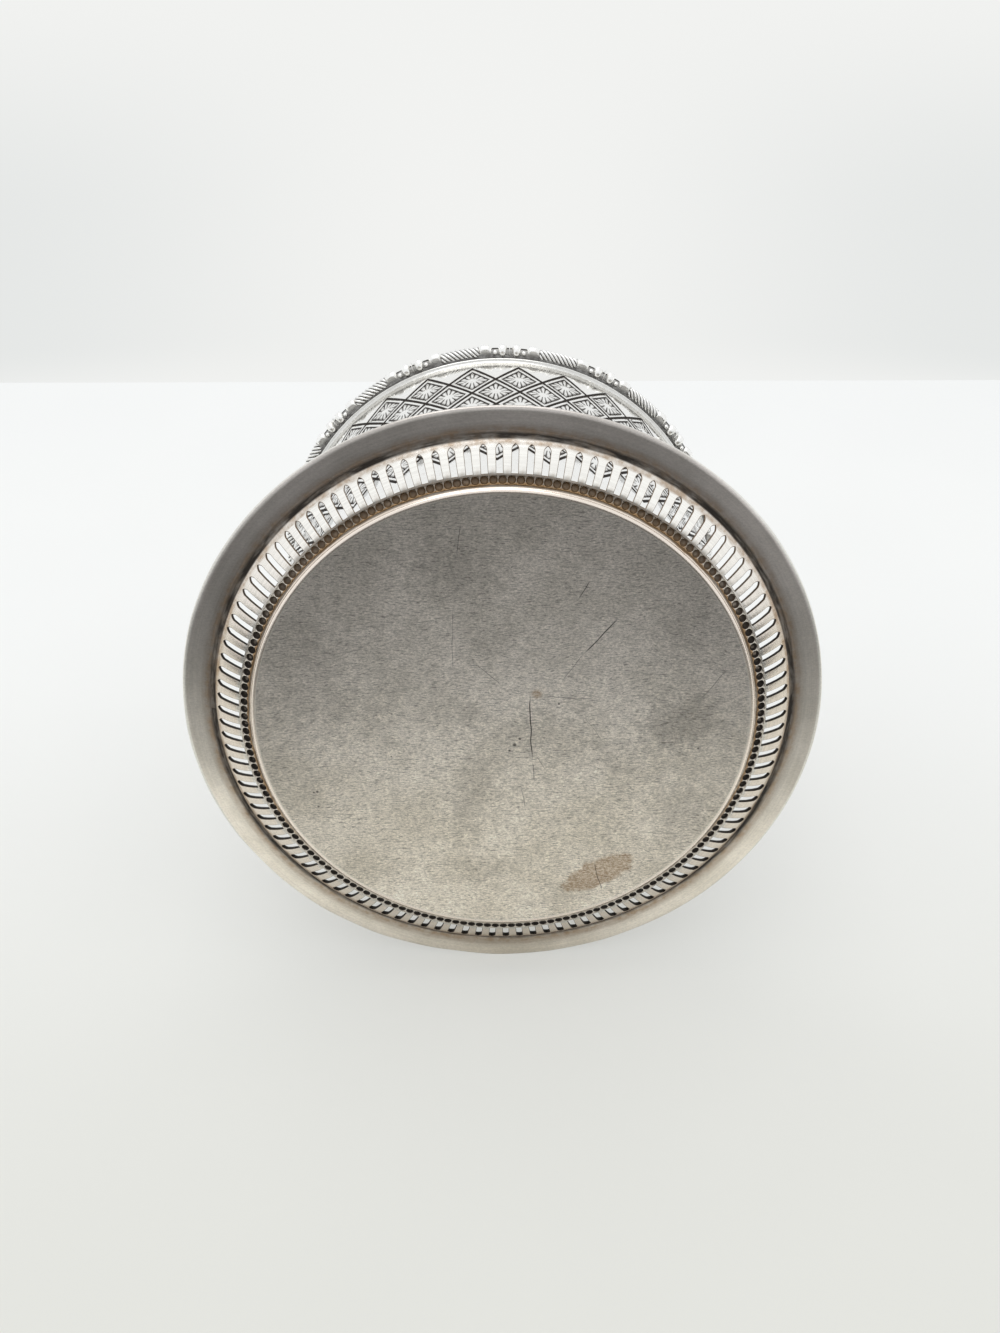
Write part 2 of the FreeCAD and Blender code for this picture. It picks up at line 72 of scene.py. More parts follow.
class Soup:
    """Collects rings and patches of points, the quads and triangles between them, and their tarnish."""

    def __init__(self):
        self.points = []
        self.tarnish = []
        self.faces = []
        self.count = 0

    def add(self, points, tarnish=0.0):
        points = np.asarray(points, float)
        shape = points.shape[:-1]
        flat = points.reshape(-1, 3)
        self.points.append(flat)
        self.tarnish.append(np.broadcast_to(np.asarray(tarnish, float), shape).reshape(-1))
        self.count += len(flat)
        return np.arange(self.count - len(flat), self.count).reshape(shape)

    def ring(self, radius, height, count, turn=0.0, tarnish=0.0):
        angles = math.radians(turn) + np.arange(count) * TURN / count
        return self.add(polar(radius, angles, height), tarnish)

    def quads(self, *corners):
        self.faces.extend(zip(*(corner.ravel().tolist() for corner in corners)))

    def band(self, first, second):
        """Quads between closed loops of one length, which run along the last axis."""
        self.quads(first, np.roll(first, -1, -1), np.roll(second, -1, -1), second)

    def fan(self, loop, centre):
        self.quads(loop, np.roll(loop, -1, -1), np.broadcast_to(centre[..., None], loop.shape))

    def stitch(self, first, second):
        """Triangles between two closed rings of different counts that start near one angle."""
        i = j = 0
        while i < len(first) or j < len(second):
            if j == len(second) or (i < len(first) and (i + 1) * len(second) <= (j + 1) * len(first)):
                self.faces.append((first[i], first[(i + 1) % len(first)], second[j % len(second)]))
                i += 1
            else:
                self.faces.append((first[i % len(first)], second[(j + 1) % len(second)], second[j]))
                j += 1

    def join(self, *rings):
        for first, second in zip(rings, rings[1:]):
            if len(first) == len(second):
                self.band(first, second)
            else:
                self.stitch(first, second)

    def build(self, name, body, slot, material, *nodes):
        mesh = bpy.data.meshes.new(name)
        faces = [tuple(int(corner) for corner in face) for face in self.faces]
        mesh.from_pydata((np.concatenate(self.points) * MM).tolist(), [], faces)
        shade = mesh.attributes.new("tarnish", "FLOAT", "POINT")
        shade.data.foreach_set("value", np.concatenate(self.tarnish).astype(np.float32))
        work = bmesh.new()
        work.from_mesh(mesh)
        bmesh.ops.recalc_face_normals(work, faces=work.faces)
        work.to_mesh(mesh)
        work.free()
        mesh.shade_smooth()
        mesh.materials.append(material)
        piece = bpy.data.objects.new(name, mesh)
        bpy.context.scene.collection.objects.link(piece)
        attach(piece, body)
        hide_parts(*nodes)


def polar(radius, angle, height):
    radius, angle, height = np.broadcast_arrays(radius, angle, height)
    return np.stack([radius * np.cos(angle), radius * np.sin(angle), height], -1)


def arc_points(start, end, radius, side, steps):
    """Points of a circle's arc, as in the solids: side 1 bulges to the right of the way, -1 to the left."""
    start, end = np.array(start, float), np.array(end, float)
    way = end - start
    half = np.linalg.norm(way) / 2
    normal = np.array([way[1], -way[0]]) / (2 * half)
    centre = (start + end) / 2 - normal * side * math.sqrt(max(radius * radius - half * half, 0))
    first = math.atan2(*(start - centre)[::-1])
    angles = first + 2 * side * math.asin(min(1, half / radius)) * np.linspace(0, 1, steps + 1)
    return np.stack([centre[0] + radius * np.cos(angles), centre[1] + radius * np.sin(angles)], 1)


# Undertray

LEAN_ACROSS = TRAY_SHEET * math.sin(math.radians(GALLERY_LEAN))
LEAN_UP = TRAY_SHEET * math.cos(math.radians(GALLERY_LEAN))
GALLERY_FOOT = DISC_RADIUS + EDGE_ROLL
GALLERY_WAY = np.array([GALLERY_RADIUS - GALLERY_FOOT, GALLERY_HEIGHT - EDGE_ROLL])
GALLERY_CHORD = np.linalg.norm(GALLERY_WAY)
GALLERY_REACH = math.sqrt(GALLERY_CURVE ** 2 - GALLERY_CHORD ** 2 / 4)
ARC_ACROSS = (GALLERY_FOOT + GALLERY_RADIUS) / 2 - GALLERY_WAY[1] / GALLERY_CHORD * GALLERY_REACH
ARC_UP = (EDGE_ROLL + GALLERY_HEIGHT) / 2 + GALLERY_WAY[0] / GALLERY_CHORD * GALLERY_REACH


def gallery(slope, angle, rise, upper):
    """A point of the gallery's sheet: rise goes from the underside into the sheet, upper is its top."""
    reach = GALLERY_CURVE - rise
    radius = ARC_ACROSS + reach * np.sin(slope) - (LEAN_ACROSS if upper else 0)
    height = ARC_UP - reach * np.cos(slope) + (LEAN_UP if upper else 0)
    return polar(radius, angle, height)


def slope_at(radius):
    return np.arcsin((np.asarray(radius, float) - ARC_ACROSS) / GALLERY_CURVE)


DIMPLE_SIDE, DIMPLE_BAND_HALF, TIP_DEEPER = 4, 1.2, 1.04
BAND_LOW_TARNISH, BAND_POST_TARNISH, BAND_HIGH_TARNISH = 0.45, 0.35, 0.3
# A dimple's cup below and its bead above, from the rim in: radius, rise, tarnish.
DIMPLE_CUP = ((DIMPLE_RADIUS + 0.16, 0.0, 0.25), (1.09, 0.2, 1.0), (0.95, 0.6, 1.0), (0.45, 0.75, 0.7))
DIMPLE_BEAD = ((1.12, 0.0, 0.3), (0.95, 0.3, 0.0), (0.55, 0.55, 0.0))


def dimple_band(soup, cup, upper):
    """The ring of dimples, each with the rings of cup. Gives its two edges."""
    side = DIMPLE_SIDE
    pitch = TURN / DIMPLE_COUNT
    half = DIMPLE_BAND_HALF / GALLERY_CURVE
    middle = float(slope_at(DIMPLE_RING))
    start = math.radians(TRAY_TURN) - pitch / 2
    fine = start + np.arange(DIMPLE_COUNT * side) * pitch / side
    low = soup.add(gallery(middle - half, fine, 0, upper), BAND_LOW_TARNISH)
    high = soup.add(gallery(middle + half, fine, 0, upper), BAND_HIGH_TARNISH)
    coarse = start + np.arange(DIMPLE_COUNT)[:, None] * pitch
    steps = middle + half * (np.arange(1, side) * 2 / side - 1)
    posts = soup.add(gallery(steps[None, :], coarse, 0, upper), BAND_POST_TARNISH)
    first = np.arange(DIMPLE_COUNT)[:, None] * side + np.arange(side + 1)
    first %= DIMPLE_COUNT * side
    right = np.roll(posts, -1, 0)
    loop = np.concatenate([low[first], right, high[first[:, ::-1]], posts[:, ::-1]], 1)
    count = loop.shape[1]
    spin = math.radians(-135) + np.arange(count) * TURN / count
    centres = coarse + pitch / 2
    for radius, rise, tarnish in cup:
        slope = middle + radius * np.sin(spin) / GALLERY_CURVE
        across = radius * np.cos(spin) / DIMPLE_RING
        inner = soup.add(gallery(slope[None, :], centres + across[None, :], rise, upper), tarnish)
        soup.band(loop, inner)
        loop = inner
    tip = soup.add(gallery(middle, centres[:, 0], cup[-1][1] * TIP_DEEPER, upper), cup[-1][2])
    soup.fan(loop, tip)
    return low, high


SLOT_LOW, SLOT_HIGH, BAR_END = 72.1, 79.3, 78.3
SLOT_BAND_TARNISH = 0.25
SLOT_SIDE, SLOT_CURVE_STEPS, LANCET_CURVE, LANCET_GROW = 4, 3, 1.02, 1.4
UPPER_SLOT_GROW = 0.2
# The slot's edge from the bar inwards: how far outside the hole, how deep, tarnish.
SLOT_EDGE = ((0.19, 0.0, 0.0), (0.09, 0.02, 0.8), (0.0, 0.1, 1.0))


def slot_outline(grow):
    """Radius and half-turn offset of the points round one slot, from its root's lower corner."""
    half = SLOT_WIDTH / 2 + grow
    root = SLOT_ROOT - grow
    neck = SLOT_TIP - SLOT_LANCET
    tip = SLOT_TIP + LANCET_GROW * grow
    straight = np.linspace(root, neck, SLOT_SIDE)
    curve = arc_points((neck, half), (tip, 0), SLOT_WIDTH * LANCET_CURVE, -1, SLOT_CURVE_STEPS)
    back = curve[1:-1][::-1]
    radius = np.concatenate([straight, curve[1:, 0], back[:, 0], straight[::-1], [root]])
    across = np.concatenate([[-half] * SLOT_SIDE, -curve[1:, 1], back[:, 1], [half] * SLOT_SIDE, [0]])
    return radius, across


def slot_band(soup, upper):
    """The pierced part of the gallery. Gives its two edges and the slots' outlines."""
    pitch = TURN / SLOT_COUNT
    start = math.radians(TRAY_TURN) - pitch / 2
    edges = []
    for radius in (SLOT_LOW, SLOT_HIGH):
        angles = start + np.arange(2 * SLOT_COUNT) * pitch / 2
        edges.append(soup.add(gallery(slope_at(radius), angles, 0, upper), SLOT_BAND_TARNISH))
    low, high = edges
    centres = start + pitch / 2 + np.arange(SLOT_COUNT)[:, None] * pitch
    radius = slot_outline(0)[0]
    bars = np.array([*radius[1:SLOT_SIDE], BAR_END])
    posts = soup.add(gallery(slope_at(bars)[None, :], centres - pitch / 2, 0, upper))
    left = np.arange(SLOT_COUNT)[:, None] * 2
    right = (left + 2) % (2 * SLOT_COUNT)
    beside = np.roll(posts, -1, 0)
    loop = np.concatenate([low[left], posts, high[left], high[left + 1], high[right],
                           beside[:, ::-1], low[right], low[left + 1]], 1)
    for grow, rise, tarnish in SLOT_EDGE:
        radius, across = slot_outline(grow + (UPPER_SLOT_GROW if upper else 0))
        turned = centres + (across / radius)[None, :]
        deep = -rise if upper else rise
        inner = soup.add(gallery(slope_at(radius)[None, :], turned, deep, upper), tarnish)
        soup.band(loop, inner)
        loop = inner
    return low, high, loop


# The flange's knocked edge: where it is knocked most, its waves (height, count, start) and its oval.
KNOCK_AT, KNOCK_DEPTH, KNOCK_REST = 115, 0.1, 0.25
EDGE_WAVES = ((0.10, 9, 1.0), (0.06, 17, 0.0), (0.05, 31, 2.0))
EDGE_OVAL = 0.5
FLANGE_BEND = 82
RIPPLE_HEIGHT, RIPPLES, RIPPLE_START, RIPPLE_AT = 0.10, 5, 0.7, 2.0


def flange_outline(angle):
    """How far the flange's edge leaves its circle, in millimetres."""
    dent = np.clip(np.cos(angle - math.radians(KNOCK_AT)), 0, 1) ** 2
    wave = sum(height * np.sin(count * angle + start) for height, count, start in EDGE_WAVES)
    return (KNOCK_REST + dent) * wave - KNOCK_DEPTH * dent + EDGE_OVAL * np.cos(2 * angle)


def flange_profile():
    """The flange's section: out along its underside, round its edge and back along its top."""
    edge_low = GALLERY_HEIGHT + SHOULDER_RISE + FLANGE_RISE
    lip = FLANGE_RADIUS - FLANGE_CROWN
    shoulder = (GALLERY_RADIUS + SHOULDER_WIDTH, GALLERY_HEIGHT + SHOULDER_RISE)
    under = arc_points(shoulder, (lip, edge_low), FLANGE_CURVE, -1, 7)
    edge_curve = (TRAY_SHEET ** 2 / 4 + FLANGE_CROWN ** 2) / (2 * FLANGE_CROWN)
    edge = arc_points((lip, edge_low), (lip, edge_low + TRAY_SHEET), edge_curve, 1, 6)
    ridge = (shoulder[0] - LEAN_ACROSS / 2, shoulder[1] + TRAY_SHEET)
    over = arc_points((lip, edge_low + TRAY_SHEET), ridge, FLANGE_CURVE, 1, 6)
    top = (GALLERY_RADIUS - LEAN_ACROSS, GALLERY_HEIGHT + LEAN_UP)
    return [(GALLERY_RADIUS, GALLERY_HEIGHT), *under, *edge[1:], *over[1:], top]


def flange_rings(soup):
    count = 4 * SLOT_COUNT
    angles = math.radians(TRAY_TURN) - TURN / SLOT_COUNT / 2 + np.arange(count) * TURN / count
    waves = RIPPLE_HEIGHT * np.sin(RIPPLES * angles + RIPPLE_START)
    ripple = waves * np.clip(np.cos(angles - RIPPLE_AT), 0, 1)
    rings = []
    for radius, height in flange_profile():
        share = max(0.0, (radius - FLANGE_BEND) / (FLANGE_RADIUS - FLANGE_BEND))
        outline = radius + share * flange_outline(angles)
        rings.append(soup.add(polar(outline, angles, height + share * ripple)))
    return rings


# The disc is a hair hollow: its rings' radii and rise, then the rings at its rim.
DISC_STEPS, DISC_RINGS, DISC_HOLLOW = 95, (9, 22, 38, 54), 0.03
DISC_RIM = ((DISC_RADIUS - 1.2, 0.02), (DISC_RADIUS - 0.3, 0.0))
DIP_AT, DIP_DEPTH, DIP_TARNISH, FLOOR_TARNISH, FLOOR_RING = 0.35, 0.1, 0.6, 0.4, 60


def undertray(material):
    """Spun and pierced sheet with its real slots and, at each dimple, a cup below and a bead above."""
    soup = Soup()
    steps = 2 * DIMPLE_COUNT
    turn = TRAY_TURN - 180 / DIMPLE_COUNT
    centre = soup.add([[0, 0, DISC_HOLLOW]])
    inner = [soup.ring(radius, DISC_HOLLOW, DISC_STEPS, turn) for radius in DISC_RINGS]
    rim = [soup.ring(radius, height, steps, turn) for radius, height in DISC_RIM]
    arc = arc_points((DISC_RADIUS, 0), (GALLERY_FOOT, EDGE_ROLL), EDGE_ROLL, 1, 6)
    roll = [soup.ring(radius, height, steps, turn) for radius, height in arc]
    angles = math.radians(turn) + np.arange(steps) * TURN / steps
    dip = soup.add(gallery(slope_at(GALLERY_FOOT + DIP_AT), angles, DIP_DEPTH, False), DIP_TARNISH)
    soup.fan(inner[0], centre[0])
    low, high = dimple_band(soup, DIMPLE_CUP, False)
    slots_low, slots_high, holes = slot_band(soup, False)
    rings = flange_rings(soup)
    soup.join(*inner, *rim, *roll, dip, low)
    soup.join(np.roll(high, 1), slots_low)
    soup.join(slots_high, *rings)
    upper_low, upper_high = dimple_band(soup, DIMPLE_BEAD, True)
    upper_slots_low, upper_slots_high, upper_holes = slot_band(soup, True)
    soup.join(rings[-1], upper_slots_high)
    soup.join(upper_slots_low, np.roll(upper_high, 1))
    soup.band(holes, upper_holes)
    inside = GALLERY_FOOT - LEAN_ACROSS
    corners = ((inside, EDGE_ROLL + LEAN_UP), (inside, TRAY_SHEET), (FLOOR_RING, TRAY_SHEET))
    floor = [soup.ring(radius, height, steps, turn, FLOOR_TARNISH) for radius, height in corners]
    soup.join(upper_low, *floor)
    soup.fan(floor[-1], soup.add([[0, 0, TRAY_SHEET]])[0])
    soup.build("undertray", "box", "tray_silver", material, "base_tray")


# Body

TRELLIS_TOP = SEAM - TRELLIS_BELOW_RIM
TRELLIS_LOW = TRELLIS_TOP - HALF_ROWS * LOZENGE_HEIGHT / 2
SIDE_STEPS = 4
WIDE = 2 * SIDE_STEPS * COLUMNS
TALL = SIDE_STEPS * HALF_ROWS
HALF_WIDE = math.pi * BODY_RADIUS / COLUMNS
HALF_TALL = LOZENGE_HEIGHT / 2
LOZENGE_SLANT = math.hypot(HALF_WIDE, HALF_TALL)
LOZENGE_INSIDE = HALF_WIDE * HALF_TALL / LOZENGE_SLANT
# The engraved line from its middle outwards: distance, rise over the wall, tarnish.
GROOVE = ((0.0, -0.3, 0.95), (0.24, -TRELLIS_DEPTH, 1.0), (0.48, -0.08, 0.9), (0.62, 0.0, 0.0))
# The polished frame and the thin line within it.
FRAME = ((1.34, 0.0, 0.0), (1.46, -0.26, 1.0), (1.9, -0.28, 1.0))
PETAL_STEPS = 4
# The flower's rings from outside in: share of the field, roundness, gap's rise, petal's rise.
FLOWER = ((0.97, 0.0, -0.28, -0.1), (0.84, 0.12, -0.28, 0.06), (0.68, 0.35, -0.28, 0.1),
          (0.5, 0.7, -0.1, 0.02), (0.4, 0.95, 0.04, 0.06), (0.2, 1.0, 0.16, 0.16))
FLOWER_ROUND, FLOWER_TIP, GAP_CUT, FLAT, DEEP_TARNISH, PETAL_LIGHT = 0.62, 0.12, 0.05, 0.05, 0.55, 0.2
PETAL_SHAPE = (1.0, 0.8, 0.0, 0.8)
# The cove under the lip: how far out of the wall, how far under the lip, tarnish.
LIP_COVE = ((0.04, 1.1, 0.04), (0.16, 0.6, 0.12), (0.42, 0.25, 0.14), (0.75, 0.06, 0.2))
LIP_BACK, LIP_SWELL, LIP_TARNISH = 0.25, 0.06, (0.2, 0.05, 0.1, 0.7, 1.0, 1.0, 1.0)
# The mouth from the lip in and the foot from the wall in: offset from the wall, height, tarnish.
THROAT = ((0.4, 0.0), (0.1, -0.12), (0.0, -0.45))
FOOT = ((-0.1, 0.25, 0.5), (-0.35, 0.0, 0.8))
THROAT_TARNISH, BOWL_TARNISH, BOWL_CORNER, BOWL_STEPS = 0.3, 0.5, 3.0, 6
BANDS_ABOVE = (TRELLIS_TOP + 1.2, SEAM - LIP_THICKNESS - 2.4)
BANDS_BELOW = (TRELLIS_LOW - 2.0, TRAY_SHEET + 0.8)


def on_wall(across, height, rise):
    """A point of the body's wall: across is measured along the wall from the trellis's start."""
    angle = math.radians(TRELLIS_TURN - 90) + np.asarray(across) / BODY_RADIUS
    return polar(BODY_RADIUS + rise, angle, height)


def lozenge_loop(steps):
    """Corner-to-corner points of a lozenge of half sizes 1 and 1, from its right corner anticlockwise."""
    share = np.arange(steps) / steps
    right = np.stack([1 - share, share], 1)
    loops = [right]
    for _ in range(3):
        loops.append(np.stack([-loops[-1][:, 1], loops[-1][:, 0]], 1))
    return np.concatenate(loops)


def zigzag(soup, lattice, side, base):
    """Rings from the outermost lozenge corners to the plain band over (side 1) or under (-1) them."""
    columns = np.arange(WIDE)
    start = SIDE_STEPS * (1 if side > 0 else (HALF_ROWS + 1) % 2)
    fold = np.abs((columns + start) % (2 * SIDE_STEPS) - SIDE_STEPS)
    rows = (TALL if side > 0 else 0) - side * fold
    rings = [lattice[rows, columns]]
    across = columns * HALF_WIDE / SIDE_STEPS
    height = TRELLIS_LOW + rows * HALF_TALL / SIDE_STEPS
    for distance, rise, tarnish in GROOVE[1:]:
        shift = side * distance * LOZENGE_SLANT / HALF_WIDE
        rings.append(soup.add(on_wall(across, height + shift, rise), tarnish))
    for level in base:
        rings.append(soup.add(on_wall(across, np.full(WIDE, level), 0.0)))
    return rings


def flower_tiles(soup, lattice):
    """Every whole lozenge: engraved line, frame, thin line and a flower of twelve petals."""
    columns, levels = np.meshgrid(np.arange(COLUMNS), np.arange(1, HALF_ROWS))
    columns = columns.ravel()
    levels = levels.ravel()
    middle_u = (columns * 2 + ((HALF_ROWS - levels) % 2 == 0)) * SIDE_STEPS
    middle_v = levels * SIDE_STEPS
    coarse = lozenge_loop(SIDE_STEPS)
    fine = lozenge_loop(3 * PETAL_STEPS)
    steps = np.rint(coarse * SIDE_STEPS).astype(int)
    loop = lattice[middle_v[:, None] + steps[:, 1], (middle_u[:, None] + steps[:, 0]) % WIDE]
    across = middle_u[:, None] * HALF_WIDE / SIDE_STEPS
    height = TRELLIS_LOW + middle_v[:, None] * HALF_TALL / SIDE_STEPS
    for distance, rise, tarnish in GROOVE[1:] + FRAME:
        shape = coarse * (1 - distance / LOZENGE_INSIDE)
        inner = soup.add(on_wall(across + shape[:, 0] * HALF_WIDE,
                                 height + shape[:, 1] * HALF_TALL, rise), tarnish)
        soup.band(loop, inner)
        loop = inner
    field = 1 - FRAME[-1][0] / LOZENGE_INSIDE
    petal = np.array(PETAL_SHAPE)[np.arange(len(fine)) % PETAL_STEPS]
    round_field = FLOWER_ROUND * field * (HALF_WIDE + HALF_TALL) / 2
    for share, roundness, low, high in FLOWER:
        blade = share * (1 - GAP_CUT * (1 - petal))
        lozenge = fine * blade[:, None] * field * np.array([HALF_WIDE, HALF_TALL])
        circle = fine / np.linalg.norm(fine, axis=1)[:, None] * share * round_field
        shape = lozenge * (1 - roundness) + circle * roundness
        rise = low + (high - low) * petal
        gap = 1.0 if high > low + FLAT else 0.0
        deep = DEEP_TARNISH if high < 0 else 0.0
        tarnish = np.clip(gap - (gap + PETAL_LIGHT) * petal, deep * gap, 1)
        inner = soup.add(on_wall(across + shape[:, 0], height + shape[:, 1], rise), tarnish[None, :])
        if inner.shape[1] == loop.shape[1]:
            soup.band(loop, inner)
        else:
            for outer_loop, inner_loop in zip(loop, inner):
                soup.stitch(outer_loop, inner_loop)
        loop = inner
    tip = soup.add(on_wall(across[:, 0], height[:, 0], FLOWER_TIP))
    soup.fan(loop, tip)


def wall_ring(soup, radius, height, tarnish=0.0):
    return soup.ring(radius, height, WIDE, TRELLIS_TURN - 90, tarnish)


def trellis_lattice(soup):
    """Points along the engraved lines, as a grid of their numbers; -1 where no line passes."""
    rows, columns = np.meshgrid(np.arange(TALL + 1), np.arange(WIDE), indexing="ij")
    period = 2 * SIDE_STEPS
    used = ((TALL - rows + columns) % period == 0) | ((TALL - rows - columns) % period == 0)
    lattice = np.full(used.shape, -1)
    across = columns[used] * HALF_WIDE / SIDE_STEPS
    height = TRELLIS_LOW + rows[used] * HALF_TALL / SIDE_STEPS
    lattice[used] = soup.add(on_wall(across, height, GROOVE[0][1]), GROOVE[0][2])
    return lattice


def body_mouth(soup):
    """Rings of the cove under the lip, the lip and the plain inside down to its floor."""
    lip_under = SEAM - LIP_THICKNESS
    cove = [wall_ring(soup, BODY_RADIUS + out, lip_under - down, dark) for out, down, dark in LIP_COVE]
    inside = BODY_RADIUS - BODY_WALL
    back = LIP_RADIUS - LIP_BACK
    lip = arc_points((back, lip_under), (back, SEAM), LIP_THICKNESS / 2 + LIP_SWELL, 1, 6)
    brim = [wall_ring(soup, radius, level, dark) for (radius, level), dark in zip(lip, LIP_TARNISH)]
    throat = [wall_ring(soup, inside + out, SEAM + up, THROAT_TARNISH) for out, up in THROAT]
    floor = TRAY_SHEET + BODY_FLOOR
    bowl = []
    for turn in np.linspace(0, math.pi / 2, BOWL_STEPS):
        radius = inside - BOWL_CORNER + BOWL_CORNER * math.cos(turn)
        level = floor + BOWL_CORNER - BOWL_CORNER * math.sin(turn)
        bowl.append(wall_ring(soup, radius, level, BOWL_TARNISH))
    soup.fan(bowl[-1], soup.add([[0, 0, floor]], THROAT_TARNISH)[0])
    return [*cove, *brim, *throat, *bowl]


def trellis_body(material):
    """Drawn cup with its engraved trellis, plain bands, lip and plain inside."""
    soup = Soup()
    lattice = trellis_lattice(soup)
    flower_tiles(soup, lattice)
    soup.join(*zigzag(soup, lattice, 1, BANDS_ABOVE), *body_mouth(soup))
    foot = [wall_ring(soup, BODY_RADIUS + out, TRAY_SHEET + up, dark) for out, up, dark in FOOT]
    soup.join(*zigzag(soup, lattice, -1, BANDS_BELOW), *foot)
    soup.fan(foot[-1], soup.add([[0, 0, TRAY_SHEET]])[0])
    soup.build("trellis_body", "box", "body_silver", material, "body_shell")


# Lid border

BEAD_HEIGHT = SEAM + BEAD_RAISED * BEAD_RADIUS
LID_SEAT = SEAM + SEAM_GAP
BORDER_TOP = LID_SEAT + BORDER_HEIGHT
BEAD_AT = COLLAR_GAP / 2 + BEAD_HALF
PEARL_AT = COLLAR_GAP / 2 + 2 * BEAD_HALF + PEARL_GAP / 2
POD_AT = COLLAR_GAP / 2 + 2 * BEAD_HALF + PEARL_GAP + POD_HALF
CLUSTER_HALF = POD_AT + POD_HALF
# How much fuller than the solids' the beads and pods are along the rope, and their taper downwards.
BEAD_FULL, POD_FULL, BARREL, BEAD_TAPER = 1.2, 1.22, 0.62, 0.16
PEARL_SHAPE = (0.9, 0.8, 0.9)
# Points round each ball and steps from its one end to the other.
PEARL_GRID, BEAD_GRID, POD_GRID = (12, 8), (16, 10), (18, 14)
COLLAR_SIZE, COLLAR_TARNISH, TIP_TARNISH = (2.0, 0.24, 2.0), 0.15, 0.8
# The dish that each pod has on its underside: the way it faces, its width, depth and tarnish.
DISH_WAY, DISH_FROM, DISH_CURVE, DISH_DEPTH = (-0.35, 0.0, -0.94), 0.7, 0.7, 0.7
DISH_TARNISH, DISH_LIGHT = 0.4, 0.6
ROPE_STEPS, RIB_STEPS, RIB_TWIST, ROPE_THINNER, ROPE_TUCK = 20, 4, 6, 0.4, 0.3
RIB_SWELL, RIB_TARNISH = (-0.42, 0.05, 0.2, 0.05), (1.0, 0.03, 0.0, 0.03)
HIDDEN_TARNISH, UNDER_TARNISH, UNDER_FROM = 0.95, 0.45, -0.5
RING_SOFT, RING_TARNISH, RING_STEPS = 0.25, 0.65, 28


def globe(steps, rings):
    """Unit directions of a ball's rings from its one pole to the other, along Y."""
    tilt = np.linspace(0, math.pi, rings + 1)[1:-1, None]
    spin = (np.arange(steps) * TURN / steps)[None, :]
    across = np.sin(tilt) * np.cos(spin)
    up = np.sin(tilt) * np.sin(spin)
    return np.stack(np.broadcast_arrays(across, np.cos(tilt), up), -1)


def fuller(ball):
    """A ball drawn out along its poles, so that it is more a barrel than a ball."""
    drawn = ball.copy()
    drawn[..., 1] = np.sign(ball[..., 1]) * np.abs(ball[..., 1]) ** BARREL
    return drawn


def put_ball(soup, ball, poles, place, angle, tarnish):
    """One bead whose points are given round its own middle, set at place (radius, height) and angle."""
    turned = []
    for points in (ball, poles):
        radius = place[0] + points[..., 0]
        along = angle + points[..., 1] / place[0]
        turned.append(polar(radius, along, place[1] + points[..., 2]))
    body = soup.add(turned[0], tarnish)
    tips = soup.add(turned[1], TIP_TARNISH)
    for first, second in zip(body, body[1:]):
        soup.band(first, second)
    soup.fan(body[0], tips[0])
    soup.fan(body[-1], tips[1])


def tapered(ball, size):
    """The ball at its size, shorter towards its lower side."""
    drawn = ball * size
    drawn[..., 1] *= 1 - BEAD_TAPER + BEAD_TAPER * ball[..., 2]
    return drawn


def dished_pod(pod, size):
    """A pod with the dish on its underside, and how dark each of its points is."""
    way = np.array(DISH_WAY)
    facing = np.clip((pod @ way - DISH_FROM) / (1 - DISH_FROM), 0, 1)
    dished = pod * size - (facing ** DISH_CURVE)[..., None] * way * DISH_DEPTH
    dished[..., 1] *= 1 - BEAD_TAPER + BEAD_TAPER * pod[..., 2]
    return dished, DISH_TARNISH * np.where(facing > 0, 1 - DISH_LIGHT * facing, 0)


def bead_clusters(soup):
    """Each cluster: a collar in its middle, then on each side a bead, a pearl and a pod."""
    pearl = globe(*PEARL_GRID)
    ends = np.array([[0.0, 1.0, 0.0], [0.0, -1.0, 0.0]])
    bead_size = np.array([BEAD_RADIUS, BEAD_HALF * BEAD_FULL, BEAD_RADIUS])
    pod_size = np.array([POD_RADIUS, POD_HALF * POD_FULL, POD_RADIUS])
    drop = tapered(fuller(globe(*BEAD_GRID)), bead_size)
    dish, dish_dark = dished_pod(fuller(globe(*POD_GRID)), pod_size)
    pearl_size = np.array(PEARL_SHAPE) * PEARL_RADIUS
    collar = np.array(COLLAR_SIZE)
    middle_place = (BEAD_RING, BEAD_HEIGHT)
    pearl_place = (BEAD_RING, BEAD_HEIGHT - (BEAD_RADIUS - PEARL_RADIUS))
    row = ((BEAD_AT, drop, ends * (bead_size * (1 - BEAD_TAPER)), middle_place, 0.0),
           (PEARL_AT, pearl * pearl_size, ends * pearl_size, pearl_place, 0.0),
           (POD_AT, dish, ends * (pod_size * (1 - BEAD_TAPER)), middle_place, dish_dark))
    for cluster in range(CLUSTERS):
        middle = math.radians(CLUSTER_TURN - 90) + cluster * TURN / CLUSTERS
        for side in (-1, 1):
            for along, ball, poles, place, dark in row:
                put_ball(soup, ball, poles, place, middle + side * along / BEAD_RING, dark)
        put_ball(soup, pearl * collar, ends * collar, middle_place, middle, COLLAR_TARNISH)


